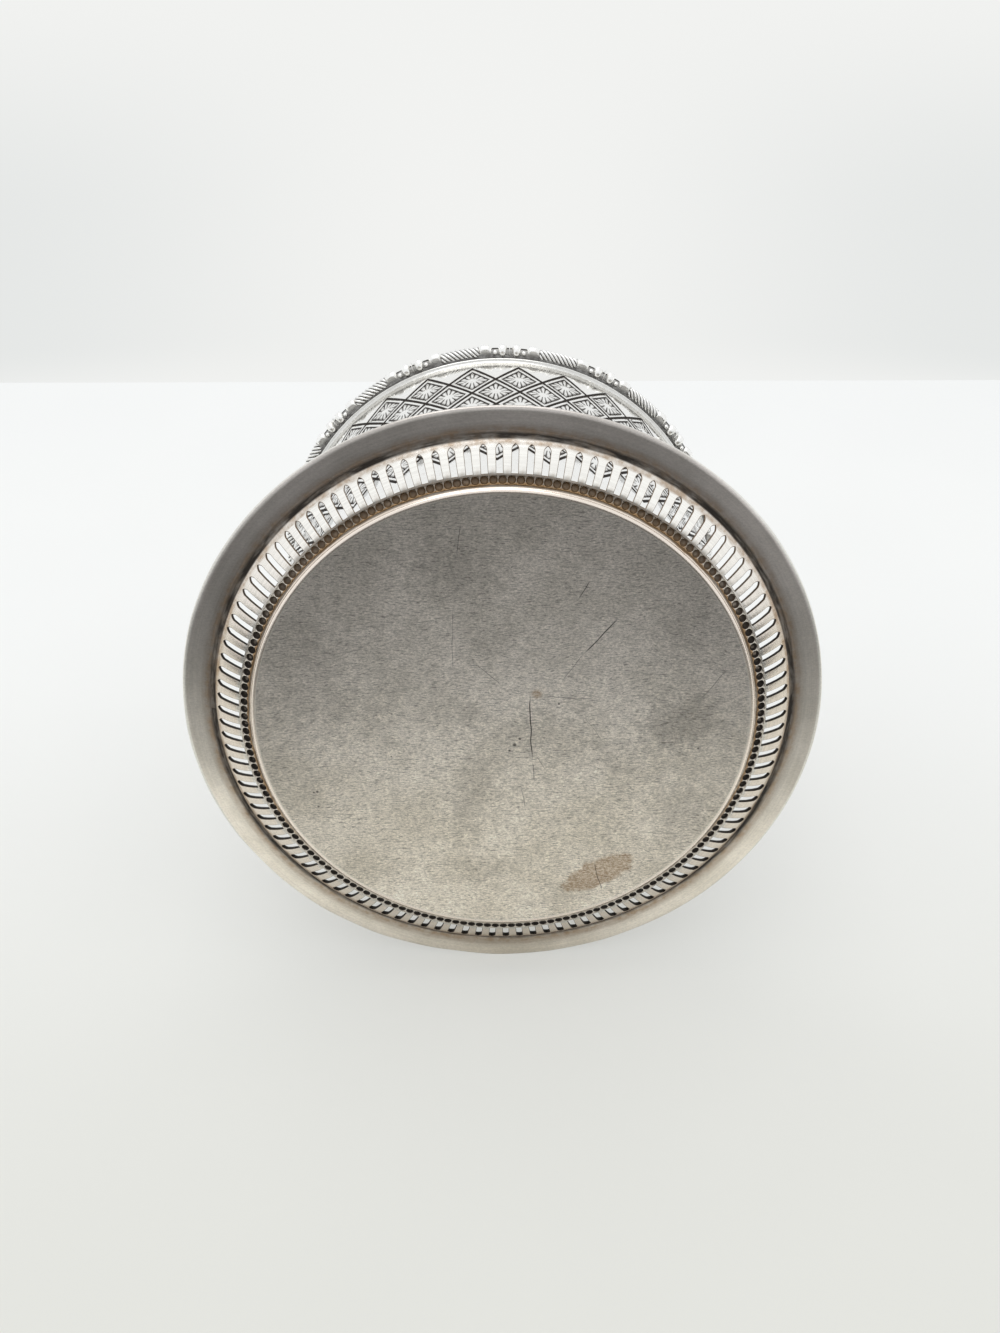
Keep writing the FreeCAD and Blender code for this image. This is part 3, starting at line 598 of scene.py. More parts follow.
def rope(soup):
    """The ribbed rope, on a grid that follows its slanting ribs; thinner where the beads sit on it."""
    pitch = TURN / (CLUSTERS * RIBS)
    spin = -math.pi + np.arange(ROPE_STEPS) * TURN / ROPE_STEPS
    marks = np.arange(CLUSTERS * RIBS * RIB_STEPS)
    angle = (marks * pitch / RIB_STEPS)[:, None] - RIB_TWIST * pitch * spin[None, :] / TURN
    sector = TURN / CLUSTERS
    from_cluster = np.abs((angle + sector / 2) % sector - sector / 2)
    hidden = from_cluster < (CLUSTER_HALF - ROPE_TUCK) / BEAD_RING
    swell = np.array(RIB_SWELL)[marks % RIB_STEPS][:, None]
    line = np.array(RIB_TARNISH)[marks % RIB_STEPS][:, None]
    tube = np.where(hidden, ROPE_RADIUS - ROPE_THINNER, ROPE_RADIUS + swell)
    under = np.sin(spin)[None, :] < UNDER_FROM
    tarnish = np.where(hidden, np.where(under, UNDER_TARNISH, HIDDEN_TARNISH), line)
    turned = math.radians(CLUSTER_TURN - 90) + angle
    radius = ROPE_RING + tube * np.cos(spin)[None, :]
    height = BEAD_HEIGHT + tube * np.sin(spin)[None, :]
    grid = soup.add(polar(radius, turned, height), tarnish).T
    last = np.roll(grid[0], RIB_TWIST * RIB_STEPS)
    for first, second in zip(grid, [*grid[1:], last]):
        soup.band(first, second)


def cast_border(material):
    """Cast border: plain ring that fits round the bezel, with its rope, pods, pearls and beads."""
    soup = Soup()
    side = BORDER_RADIUS - RING_SOFT
    corners = [(BEZEL_RADIUS, LID_SEAT), (side, LID_SEAT), (BORDER_RADIUS, LID_SEAT + RING_SOFT),
               (BORDER_RADIUS, BORDER_TOP - RING_SOFT), (side, BORDER_TOP), (BEZEL_RADIUS, BORDER_TOP)]
    rings = [soup.ring(radius, height, RING_STEPS * CLUSTERS, CLUSTER_TURN - 90, RING_TARNISH)
             for radius, height in corners]
    soup.join(*rings, rings[0])
    rope(soup)
    bead_clusters(soup)
    soup.build("cast_border", "lid", "border_silver", material, "lid_border")


# Materials

class Net:
    """Builds one material's nodes: a plain number sets a socket, a socket is linked to it."""

    def __init__(self, tree):
        self.tree = tree
        self.tree.nodes.clear()

    def add(self, kind, inputs=None, **settings):
        node = self.tree.nodes.new(kind)
        for key, value in settings.items():
            setattr(node, key, value)
        for key, value in (inputs or {}).items():
            if isinstance(value, bpy.types.NodeSocket):
                self.tree.links.new(value, node.inputs[key])
            else:
                node.inputs[key].default_value = value
        return node

    def math(self, operation, first, second=0.0, clamp=False):
        inputs = {0: first, 1: second}
        return self.add("ShaderNodeMath", inputs, operation=operation, use_clamp=clamp).outputs[0]

    def chain(self, operation, first, others):
        for other in others:
            first = self.math(operation, first, other)
        return first

    def times(self, first, *others):
        return self.chain("MULTIPLY", first, others)

    def plus(self, first, *others):
        return self.chain("ADD", first, others)

    def minus(self, first, second):
        return self.math("SUBTRACT", first, second)

    def strongest(self, first, *others):
        return self.chain("MAXIMUM", first, others)

    def vector(self, operation, first, second=(0.0, 0.0, 0.0), output="Vector"):
        inputs = {0: first, 1: second}
        return self.add("ShaderNodeVectorMath", inputs, operation=operation).outputs[output]

    def ramp(self, value, low, high, start=0.0, end=1.0):
        """A soft step from start, where value is low, to end, where it is high."""
        inputs = {"Value": value, "From Min": low, "From Max": high, "To Min": start, "To Max": end}
        return self.add("ShaderNodeMapRange", inputs, interpolation_type="SMOOTHSTEP").outputs["Result"]

    def zone(self, value, *edges):
        """1 between the two middle edges, 0 outside the outer two."""
        return self.times(self.ramp(value, *edges[:2]), self.ramp(value, *edges[2:], 1.0, 0.0))

    def mix(self, share, first, second):
        return self.add("ShaderNodeMix", {0: share, 6: first, 7: second}, data_type="RGBA").outputs[2]

    def blend(self, share, first, second):
        return self.add("ShaderNodeMix", {0: share, 2: first, 3: second}, data_type="FLOAT").outputs[0]

    def either(self, share, first, second):
        return self.add("ShaderNodeMixShader", {0: share, 1: first, 2: second}).outputs[0]

    def split(self, vector):
        return self.add("ShaderNodeSeparateXYZ", {0: vector}).outputs

    def seen(self):
        """1 where the camera looks straight at the point."""
        return self.add("ShaderNodeLightPath").outputs["Is Camera Ray"]

    def tarnish(self):
        return self.add("ShaderNodeAttribute", attribute_name="tarnish").outputs["Fac"]

    def place(self):
        """Where the point is on the part, in millimetres."""
        spot = self.add("ShaderNodeTexCoord").outputs["Object"]
        return self.add("ShaderNodeVectorMath", {0: spot, "Scale": 1 / MM}, operation="SCALE").outputs[0]

    def noise(self, vector, scale, detail=3.0, rough=0.55, stretch=None, turn=0.0):
        """Noise with scale features per millimetre, stretched along X after a turn about Z."""
        if stretch is not None:
            settings = {"Vector": vector, "Rotation": (0.0, 0.0, turn), "Scale": stretch}
            vector = self.add("ShaderNodeMapping", settings).outputs[0]
        inputs = {"Vector": vector, "Scale": scale, "Detail": detail, "Roughness": rough}
        return self.add("ShaderNodeTexNoise", inputs).outputs["Fac"]

    def bent(self, vector, scale, reach):
        """The place, gently bent, so that straight marks look made by hand."""
        noise = self.add("ShaderNodeTexNoise", {"Vector": vector, "Scale": scale, "Detail": 1.0})
        bend = self.vector("SUBTRACT", noise.outputs["Color"], (0.5, 0.5, 0.5))
        inputs = {0: bend, 1: (reach, reach, 0.0), 2: vector}
        return self.add("ShaderNodeVectorMath", inputs, operation="MULTIPLY_ADD").outputs[0]

    def patch(self, vector, middle, half, turn):
        """The place as seen from a flat patch: 0 in its middle, 1 at its half sizes."""
        settings = {"Vector": vector, "Location": (*middle, 0.0), "Rotation": (0.0, 0.0, turn),
                    "Scale": (*half, 1.0)}
        return self.add("ShaderNodeMapping", settings, vector_type="TEXTURE").outputs[0]

    def polar(self, vector):
        """Radius, and a vector that runs evenly round the part: way along its circle, radius, height."""
        split = self.split(vector)
        flat = self.add("ShaderNodeCombineXYZ", {0: split[0], 1: split[1]}).outputs[0]
        radius = self.vector("LENGTH", flat, output="Value")
        along = self.times(self.math("ARCTAN2", split[1], split[0]), WAY_RADIUS)
        around = self.add("ShaderNodeCombineXYZ", {0: along, 1: radius, 2: split[2]}).outputs[0]
        return radius, around, split


def new_material(name):
    material = bpy.data.materials.new(name)
    material.use_nodes = True
    return material, Net(material.node_tree)


WAY_RADIUS = 70.0
BLACK_TARNISH = (0.022, 0.016, 0.011, 1.0)
BROWN_TARNISH = (0.33, 0.20, 0.095, 1.0)
BLACK_ROUGH, BLACK_METAL, RELIEF = 0.8, 0.25, 0.0002


def silver_surface(net, color, rough, brown, black, height, strength):
    """Silver plate with a brown film and black tarnish over it, and its fine relief."""
    filmed = net.mix(brown, color, BROWN_TARNISH)
    tone = net.mix(black, filmed, BLACK_TARNISH)
    dull = net.blend(black, rough, BLACK_ROUGH)
    metal = net.ramp(black, 0.0, 1.0, 1.0, BLACK_METAL)
    bump = net.add("ShaderNodeBump", {"Height": height, "Strength": strength, "Distance": RELIEF})
    inputs = {"Base Color": tone, "Metallic": metal, "Roughness": dull, "Normal": bump.outputs[0]}
    surface = net.add("ShaderNodeBsdfPrincipled", inputs)
    net.add("ShaderNodeOutputMaterial", {"Surface": surface.outputs["BSDF"]})


# Marks on the disc's underside: start and end in millimetres, half width, strength.
SCRATCHES = (
    ((7.2, -8.7), (8.0, 12.8), 0.16, 0.75), ((8.0, 12.8), (8.9, 19.4), 0.10, 0.45),
    ((30.9, -32.0), (21.6, -20.9), 0.17, 0.7), ((21.6, -20.9), (15.9, -12.5), 0.10, 0.4),
    ((22.7, -42.9), (19.6, -37.4), 0.13, 0.6), ((-11.0, -59.0), (-12.2, -50.5), 0.12, 0.55),
    ((-13.3, -35.2), (-13.8, -16.0), 0.09, 0.4), ((-8.0, -18.4), (-0.5, -11.4), 0.10, 0.4),
    ((10.8, -8.0), (24.9, -7.1), 0.09, 0.4), ((60.5, -16.3), (53.4, -6.2), 0.10, 0.4),
    ((26.0, 46.7), (28.7, 57.2), 0.12, 0.5), ((9.0, 11.0), (11.7, 15.8), 0.10, 0.4),
    ((5.0, 21.1), (6.4, 29.6), 0.10, 0.35), ((22.3, -1.0), (27.5, 6.3), 0.08, 0.3),
    ((-43.0, -21.3), (-37.6, -22.9), 0.12, 0.35), ((39.6, 2.4), (47.2, -0.1), 0.10, 0.3),
)
SCRATCH_WIDER, SCRATCH_DARKER, SCRATCH_SIDE, SCRATCH_END = 1.35, 1.4, (0.35, 1.0), (0.6, 1.05)
# Pits: place and radius. Their dark starts at PIT_CORE of the radius.
PITS = ((-51.9, 22.6, 0.5), (-52.0, 27.5, 0.45), (-31.0, 11.2, 0.35), (3.2, 7.4, 0.7), (4.6, 5.6, 0.5),
        (1.8, 9.2, 0.45), (15.1, -5.7, 0.45), (-52.9, 22.9, 0.4), (54.0, 9.0, 0.35), (36.5, 29.5, 0.3))
PIT_CORE, PIT_DARK = 0.4, 0.8
# The brown patch near the disc's edge, with its ragged edge's fade, and the spot in the disc's middle.
STAIN_PLACE, STAIN_HALF, STAIN_TURN, STAIN_RAGGED = (27.5, 50.7), (11.0, 4.4), -29, 0.9
STAIN_FADE = (1.25, 1.6, 0.62, 0.0)
SPOT_PLACE, SPOT_RAGGED, SPOT_FADE = (9.2, -8.7, 0.0), 1.6, (1.6, 2.6, 0.6, 0.0)
# Darker smears on the disc: middle, half sizes in millimetres, turn in degrees, strength.
SMEARS = (
    ((-9.0, 24.0), (5.0, 13.0), 12, 0.17), ((-6.0, 50.0), (8.0, 5.0), 0, 0.10),
    ((48.0, 1.0), (11.0, 7.0), -25, 0.26), ((50.0, 31.0), (7.0, 9.0), 0, 0.18),
    ((-10.0, -2.0), (4.0, 4.0), 0, 0.14), ((-13.0, -46.0), (12.0, 8.0), 15, 0.14),
    ((50.0, -28.0), (8.0, 10.0), 30, 0.10), ((-50.0, -12.0), (9.0, 20.0), 10, 0.12),
    ((10.0, 3.0), (10.0, 7.0), 0, 0.05), ((-2.0, -24.0), (8.0, 5.0), 0, 0.07),
    ((30.0, 12.0), (6.0, 5.0), 30, 0.1), ((20.0, 58.0), (12.0, 4.0), -20, 0.14),
)
SMEAR_RAGGED, SMEAR_FADE = 2.0, (0.3, 1.5)


def scratch(net, vector, start, end, half, strength):
    """How dark a point is made by one straight scratch that thins towards its ends."""
    way = Vector(end) - Vector(start)
    middle = (Vector(start) + Vector(end)) / 2
    half_sizes = (way.length / 2, SCRATCH_WIDER * half)
    split = net.split(net.patch(vector, middle, half_sizes, math.atan2(way.y, way.x)))
    dark = min(1.0, SCRATCH_DARKER * strength)
    aside = net.ramp(net.math("ABSOLUTE", split[1]), *SCRATCH_SIDE, dark, 0.0)
    ahead = net.ramp(net.math("ABSOLUTE", split[0]), *SCRATCH_END, 1.0, 0.0)
    return net.times(aside, ahead)


def disc_marks(net, wander):
    marks = [scratch(net, wander, *mark) for mark in SCRATCHES]
    for across, along, half in PITS:
        away = net.vector("DISTANCE", wander, (across, along, 0.0), "Value")
        marks.append(net.ramp(away, PIT_CORE * half, half, PIT_DARK, 0.0))
    return net.strongest(*marks)


def disc_stain(net, vector, blotch):
    """The brown patch near the disc's edge and the spot in its middle."""
    local = net.patch(vector, STAIN_PLACE, STAIN_HALF, math.radians(STAIN_TURN))
    reach = net.vector("LENGTH", local, output="Value")
    stain = net.ramp(net.plus(reach, net.times(blotch, STAIN_RAGGED)), *STAIN_FADE)
    away = net.vector("DISTANCE", vector, SPOT_PLACE, "Value")
    spot = net.ramp(net.plus(away, net.times(blotch, SPOT_RAGGED)), *SPOT_FADE)
    return net.strongest(stain, spot)


def disc_smears(net, vector, blotch):
    """A factor below 1 in soft smears at listed places on the disc."""
    ragged = net.times(net.minus(blotch, 0.5), SMEAR_RAGGED)
    smears = []
    for middle, half, turn, strength in SMEARS:
        local = net.patch(vector, middle, half, math.radians(turn))
        reach = net.plus(net.vector("LENGTH", local, output="Value"), ragged)
        smears.append(net.ramp(reach, *SMEAR_FADE, 1.0 - strength, 1.0))
    return net.times(*smears)


# The tray's wear and its painted light and shade. A fade is (from, to, value before, value after) and a
# zone is (0 up to, 1 from, 1 up to, 0 from). Those named for a ring go by the radius, those named for a
# side by Y, whose back end lies lowest in the photo; the noises' fades go by their value.
UNDERSIDE, DISC_FADE = (0.3, 0.6, 1.0, 0.0), (67.2, 68.0, 1.0, 0.0)
ROLL_ZONE, FOOT_ZONE = (67.5, 67.9, 69.0, 69.4), (69.0, 69.6, 69.9, 70.6)
COLLAR_ZONE, REFLECTION_BAND_ZONE = (71.4, 71.9, 72.5, 73.3), (69.4, 70.0, 72.0, 72.9)
BAR_ZONE, BAR_SHARE = (72.4, 73.6, 79.5, 80.5), 0.9
GROOVE_START, GROOVE_END, GROOVE_OUTER = (78.95, 79.4), (-0.8, 0.5, 1.0, 0.0), 81.3
GROOVE_BACK, GROOVE_FRONT, GROOVE_SHIFT = (35.0, 78.0, 0.0, -0.8), 0.4, 0.45
GROOVE_FILM_ZONE, FLANGE_START = (78.2, 79.0, 81.0, 84.0), (80.0, 80.8)
# The flange's zone stops short of its rim, which keeps the clean tone as a painted highlight; the worn
# share carries painted reflection.
FLANGE_ZONE, FLANGE_WORN_AND_REFLECTION, GROOVE_DARKENING = (80.2, 81.5, 87.75, 88.1), 0.85, (81.0, 85.5, 0.68, 1.0)
RAGGED = 1.8
# All side fades but the groove's and the foot's paint light and shade, lighter or darker by front and back.
FRONT_SIDE, FRONT_BARS, FRONT_CUPS = (20.0, -60.0), (-15.0, -62.0), (-20.0, -62.0, 1.0, 0.5)
FRONT_REFLECTION_BAND, BACK_FOOT = (-34.0, -62.0), (62.0, 20.0, 0.1, 0.95)
BACK_DISC, BACK_RIM, RIM_DARK, RIM_BRIGHT = (-30.0, 54.0), (48.0, 60.0), (45.0, 66.0, 1.0, 0.9), 1.05
BACK_FLANGE, LEFT_GLOW = (62.0, 80.0, 1.0, 0.92), (14.0, 34.0, 0.78, 1.12)
RIGHT_SIDE, RIGHT_GLOW, RIGHT_FRONT = (40.0, 70.0), (22.0, 52.0, 0.78, 1.12), (-30.0, 8.0, 1.28, 1.0)
# The tray's noises: features per millimetre, detail, roughness, stretch, turn; bends: scale, reach.
CLOUD, BLOTCH, SPECK = (0.045, 3.0, 0.6), (0.35, 4.0, 0.65), (3.4, 2.0, 0.6)
GRAIN, FLECK = (1.6, 4.0, 0.8, (0.75, 1.3, 1.0), 0.15), (1.1, 3.0, 0.6, (0.45, 2.6, 1.0), -0.12)
STREAK, BRUSH = (0.45, 4.0, 0.6, (0.3, 1.6, 1.0)), (0.6, 3.0, 0.6, (0.06, 3.0, 3.0))
HAIR, HAIR_TURNS, HAIR_ZONE = (0.9, 1.0, 0.5, (0.16, 2.2, 1.0)), (0.5, -0.8), (0.66, 0.70, 0.9, 1.0)
FLECK_BEND, MARK_BEND = (0.08, 6.0), (0.12, 1.2)
# What the noises do: fades of the black, of the film and stain, and of the tone.
BLACK_STREAKS, BLACK_CUPS, DIRT_PATCHES = (0.3, 0.6, 0.65, 1.0), (0.4, 0.8), (0.2, 0.6, 0.75, 1.1)
FILM_PATCHES, STAIN_GRAIN, DIRT_FILM = (0.3, 0.7, 0.25, 0.75), (0.3, 0.65, 1.3, 0.55), 0.9
UNEVEN_BACK, PALE_PATCHES = (0.3, 0.7, -6.0, 6.0), (0.35, 0.65)
# What they do to the shade of the disc, of the flange and of the brushed silver.
DISC_GRAIN, DISC_PATCHES, DISC_HAIRS = (0.3, 0.7, 0.65, 1.31), (0.3, 0.7, 0.88, 1.06), (0.0, 1.0, 1.0, 0.75)
DISC_SPECKS, DISC_FLECKS = (0.60, 0.72, 1.0, 0.6), (0.51, 0.68, 1.0, 0.5)
FLANGE_GRAIN, BRUSH_MARKS = (0.3, 0.7, 0.9, 1.1), (0.3, 0.7, 0.94, 1.04)
# Painted reflection: the collar's and the band's shades darken bands by the dimples, the band only at the
# front.
COLLAR_SHADE, REFLECTION_BAND_SHADE = (0.0, 1.0, 1.0, 0.84), (0.0, 1.0, 1.0, 0.34)
DISC_ROUGH, GALLERY_ROUGH, FLANGE_ROUGH, TRAY_RELIEF = (0.25, 0.75, 0.38, 0.32), 0.26, 0.34, 0.25
# Tones of the silver, the first of each pair where it is greyer or nearer the front. The grey and pale
# pairs carry painted reflection, paler to the back; the bars' pair is a painted highlight, bright at the
# front.
CLEAN_TONES = ((0.75, 0.72, 0.66, 1.0), (0.87, 0.84, 0.78, 1.0))
GREY_TONES = ((0.68, 0.63, 0.58, 1.0), (0.77, 0.70, 0.595, 1.0))
PALE_TONES = ((0.80, 0.74, 0.69, 1.0), (0.91, 0.832, 0.725, 1.0))
BAR_TONES = ((0.76, 0.67, 0.57, 1.0), (1.0, 0.97, 0.91, 1.0))
ROLL_TONE = (0.92, 0.82, 0.72, 1.0)


def tray_patterns(net):
    """The places and noises by which the tray's wear and painted light are laid out."""
    at = SimpleNamespace(place=net.place())
    at.radius, at.around, split = net.polar(at.place)
    at.right, at.back = split[0], split[1]
    at.disc = net.times(net.ramp(split[2], *UNDERSIDE), net.ramp(at.radius, *DISC_FADE))
    at.flange = net.zone(at.radius, *FLANGE_ZONE)
    at.cloud = net.noise(at.place, *CLOUD)
    at.blotch = net.noise(at.place, *BLOTCH)
    at.grain = net.noise(at.place, *GRAIN)
    at.streak = net.noise(at.around, *STREAK)
    at.wander = net.bent(at.place, *MARK_BEND)
    at.edge = net.plus(at.radius, net.times(net.minus(at.streak, 0.5), RAGGED))
    at.marks = net.times(disc_marks(net, at.wander), at.disc)
    return at


def tray_black(net, at, dirt):
    """Black tarnish in the groove, the dimples' cups and the disc's scratches and pits; in the cups also
    painted shade.
    """
    front = net.ramp(at.back, *FRONT_SIDE)
    outer = net.plus(GROOVE_OUTER, net.ramp(at.back, *GROOVE_BACK))
    outer = net.plus(outer, net.times(front, GROOVE_FRONT))
    start = net.ramp(net.minus(at.radius, net.times(front, GROOVE_SHIFT)), *GROOVE_START)
    end = net.ramp(net.minus(at.edge, outer), *GROOVE_END)
    groove = net.times(start, end, net.ramp(at.streak, *BLACK_STREAKS))
    # The cups' black is tarnish and painted shade that makes them look deep; towards the front painted
    # light halves it.
    cups = net.times(net.ramp(dirt, *BLACK_CUPS), net.ramp(at.back, *FRONT_CUPS))
    return net.math("MINIMUM", net.strongest(groove, cups, at.marks), 1.0)


def tray_brown(net, at, dirt):
    """Brown film beside the groove, at the dimples' foot and in the disc's stain."""
    groove = net.times(net.zone(at.edge, *GROOVE_FILM_ZONE), net.ramp(at.blotch, *FILM_PATCHES))
    foot = net.times(net.zone(at.edge, *FOOT_ZONE), net.ramp(at.back, *BACK_FOOT))
    stain = net.times(disc_stain(net, at.place, at.blotch), at.disc)
    stain = net.times(stain, net.ramp(at.grain, *STAIN_GRAIN))
    film_and_reflection = net.strongest(groove, foot, stain, net.times(dirt, DIRT_FILM))
    return net.math("MINIMUM", film_and_reflection, 1.0)


def tray_tone(net, at):
    """Worn tone on the disc and flange, painted paler to the back; cream on the bars, painted brighter at
    the front, and the roll.
    """
    # Painted reflection: the worn tone of the disc and flange goes from greyer at the front to paler at the
    # back.
    uneven = net.plus(at.back, net.ramp(at.blotch, *UNEVEN_BACK))
    back = net.ramp(uneven, *BACK_DISC)
    grey = net.mix(back, *GREY_TONES)
    pale = net.mix(back, *PALE_TONES)
    worn_and_reflection = net.mix(net.ramp(at.cloud, *PALE_PATCHES), grey, pale)
    bars = net.times(net.zone(at.radius, *BAR_ZONE), BAR_SHARE)
    # Painted highlight: the bars are brighter towards the front.
    bar_tone = net.mix(net.ramp(at.back, *FRONT_BARS), *BAR_TONES)
    cream = net.mix(bars, net.mix(at.cloud, *CLEAN_TONES), bar_tone)
    cream = net.mix(net.zone(at.radius, *ROLL_ZONE), cream, ROLL_TONE)
    # The flange's zone ends before its rim, so the rim keeps the clean tone, a painted highlight along its
    # edge.
    return net.mix(net.strongest(at.disc, net.times(at.flange, FLANGE_WORN_AND_REFLECTION)), cream, worn_and_reflection)


def disc_shade(net, at):
    """How the disc's grain, specks, flecks, smears and hair scratches darken it, and its painted reflection
    by the rim.
    """
    # Painted reflection: the disc darkens towards its rim, and over its back it is a little lighter.
    rim = net.blend(net.ramp(at.back, *BACK_RIM), net.ramp(at.radius, *RIM_DARK), RIM_BRIGHT)
    speck = net.noise(at.place, *SPECK)
    fleck = net.noise(net.bent(at.place, *FLECK_BEND), *FLECK)
    hairs = [net.zone(net.noise(at.wander, *HAIR, turn), *HAIR_ZONE) for turn in HAIR_TURNS]
    hair = net.times(net.strongest(*hairs), at.disc)
    shade = net.times(net.ramp(at.grain, *DISC_GRAIN), rim)
    patterns = ((at.blotch, DISC_PATCHES), (speck, DISC_SPECKS), (fleck, DISC_FLECKS), (hair, DISC_HAIRS))
    shade = net.times(shade, *[net.ramp(pattern, *fade) for pattern, fade in patterns])
    return net.times(shade, disc_smears(net, at.place, at.blotch))


def flange_shade(net, at):
    """The flange is darker beside the groove; painted reflection darkens its front and sides and lightens
    its back.
    """
    darkening_and_glow = net.blend(at.flange, 1.0, net.ramp(at.edge, *GROOVE_DARKENING))
    # Painted reflection: a little darker at the flange's far back.
    darkening_and_glow = net.times(darkening_and_glow, net.ramp(at.back, *BACK_FLANGE))
    # Painted reflection: darker over the front and the sides, lighter towards the back.
    right = net.times(net.ramp(at.back, *RIGHT_GLOW), net.ramp(at.back, *RIGHT_FRONT))
    left = net.ramp(at.back, *LEFT_GLOW)
    glow = net.blend(net.ramp(at.right, *RIGHT_SIDE), left, right)
    darkening_and_glow = net.times(darkening_and_glow, net.blend(at.flange, 1.0, glow))
    return net.times(darkening_and_glow, net.ramp(at.grain, *FLANGE_GRAIN))


def tray_shade(net, at, flange):
    """How dark the brushed silver off the disc is, with painted reflection bands by the dimples, and the
    disc's own shade on it.
    """
    brush = net.noise(at.around, *BRUSH)
    # Painted reflection: a dark band between the dimples and the slots, and another over the dimples at the
    # front.
    collar = net.zone(at.radius, *COLLAR_ZONE)
    film_and_reflection = net.times(net.zone(at.edge, *REFLECTION_BAND_ZONE), net.ramp(at.back, *FRONT_REFLECTION_BAND))
    patterns = ((brush, BRUSH_MARKS), (collar, COLLAR_SHADE), (film_and_reflection, REFLECTION_BAND_SHADE))
    sheen = net.times(*[net.ramp(pattern, *fade) for pattern, fade in patterns])
    plain = net.times(sheen, net.blend(flange, 1.0, flange_shade(net, at)))
    return net.blend(at.disc, plain, disc_shade(net, at))


def tray_material():
    material, net = new_material("tray_silver_worn_and_painted")
    at = tray_patterns(net)
    flange = net.ramp(at.radius, *FLANGE_START)
    dirt = net.times(net.tarnish(), net.ramp(at.blotch, *DIRT_PATCHES))
    shade = tray_shade(net, at, flange)
    grey = net.add("ShaderNodeCombineColor", {0: shade, 1: shade, 2: shade}).outputs[0]
    inputs = {0: 1.0, 6: tray_tone(net, at), 7: grey}
    color = net.add("ShaderNodeMix", inputs, data_type="RGBA", blend_type="MULTIPLY").outputs[2]
    rough = net.blend(at.disc, GALLERY_ROUGH, net.ramp(at.blotch, *DISC_ROUGH))
    rough = net.blend(flange, rough, FLANGE_ROUGH)
    height = net.minus(net.times(at.grain, 0.5), net.times(at.marks, 0.5))
    brown = tray_brown(net, at, dirt)
    silver_surface(net, color, rough, brown, tray_black(net, at, dirt), height, TRAY_RELIEF)
    return material


# Polished silver: tone in its clearer clouds, its noises, the brown film and the relief.
CLEAR_TONE, POLISHED_CLOUD, POLISHED_BLOTCH = (0.93, 0.92, 0.89, 1.0), (0.06, 3.0, 0.6), (0.7, 4.0, 0.6)
SCUFF, POLISHED_RELIEF, POLISHED_FILM = (1.2, 3.0, 0.6, (1.0, 1.0, 0.15)), 0.06, 0.12
KEPT_PATCHES, FILM_FADE, SMOOTHER, ROUGHER = (0.25, 0.6), (0.5, 0.75), 0.04, 0.05


def worked_silver(name, warm, rough, dirt_low, dirt_high):
    """Polished silver whose hollows keep their tarnish, as the mesh says where they are."""
    material, net = new_material(name)
    place = net.place()
    cloud = net.noise(place, *POLISHED_CLOUD)
    blotch = net.noise(place, *POLISHED_BLOTCH)
    scuff = net.noise(place, *SCUFF)
    light = net.mix(cloud, warm, CLEAR_TONE)
    kept = net.ramp(blotch, *KEPT_PATCHES, dirt_low, dirt_high)
    black = net.math("MULTIPLY", net.tarnish(), kept, True)
    brown = net.times(net.ramp(blotch, *FILM_FADE), POLISHED_FILM)
    rough_now = net.ramp(scuff, 0.3, 0.7, rough - SMOOTHER, rough + ROUGHER)
    silver_surface(net, light, rough_now, brown, black, scuff, POLISHED_RELIEF)
    return material


# Stage

FOCAL_PIXELS, PICTURE_HEIGHT, SENSOR, CLIP = 1750.0, 1333.0, 36.0, 0.01
CAMERA_PLACE = (-4.2, -246.1, -411.17)
CAMERA_RIGHT = (0.99993, 0.0, -0.0082)
CAMERA_DOWN = (-0.00399, 0.8738, -0.4862)
# The dark shape behind the camera, by its direction's X and Y, and the light round it.
PERSON_NARROW, PERSON_MIDDLE, PERSON_CORE, PERSON_EDGE = 0.7, 0.14, 0.30, 0.46
PERSON_AHEAD = (-0.3, 0.1)
PERSON_TONE = (0.13, 0.128, 0.127, 1.0)
DAYLIGHT = (0.94, 0.96, 0.98, 1.0)
# What the camera sees behind everything, with painted shade in a band to both sides.
BACKDROP_MIDDLE, BACKDROP_SIDE = (0.885, 0.89, 0.875, 1.0), (0.79, 0.805, 0.795, 1.0)
BACKDROP_ASIDE, BACKDROP_BAND = (0.02, 0.28), (0.12, 0.25, 0.31, 0.345)
# The sloping table's tones from near to far, and where they change; the darker near tone is painted shade.
TABLE_FRONT, TABLE_MIDDLE = (0.755, 0.755, 0.71, 1.0), (0.88, 0.885, 0.87, 1.0)
TABLE_BACK, TABLE_DIM = (0.87, 0.875, 0.865, 1.0), (0.05, 0.05, 0.05, 1.0)
TABLE_NEARER, TABLE_FARTHER, TABLE_GLOW = (210.0, -140.0), (250.0, 381.0), 0.5
PAPER_CLOUD, PAPER_TONES = (0.009, 2.0), (0.3, 0.7, 0.985, 1.01)
# Far in front of the box the table falls into shade, faster to the sides.
SHADE_START, SHADE_PACE, SHADE_MIDDLE, SHADE_ASIDE, SHADE_LEAST = 1.25, -0.01, 5.0, 0.012, 0.45
TABLE_SLOPE = math.tan(math.radians(7.4))
TABLE_NEAR, TABLE_FAR, TABLE_HALF = -620.0, 381.0, 900.0
TABLE_TOUCH = 88.2
FLOOR_TONE = (0.88, 0.88, 0.87, 1.0)
FLOOR_DROP, FLOOR_HALF = 0.6, 700.0
WINDOW_PLACE, WINDOW_SIZE, WINDOW_POWER = (-0.1, -1.05, 0.15), 0.8, 3.0


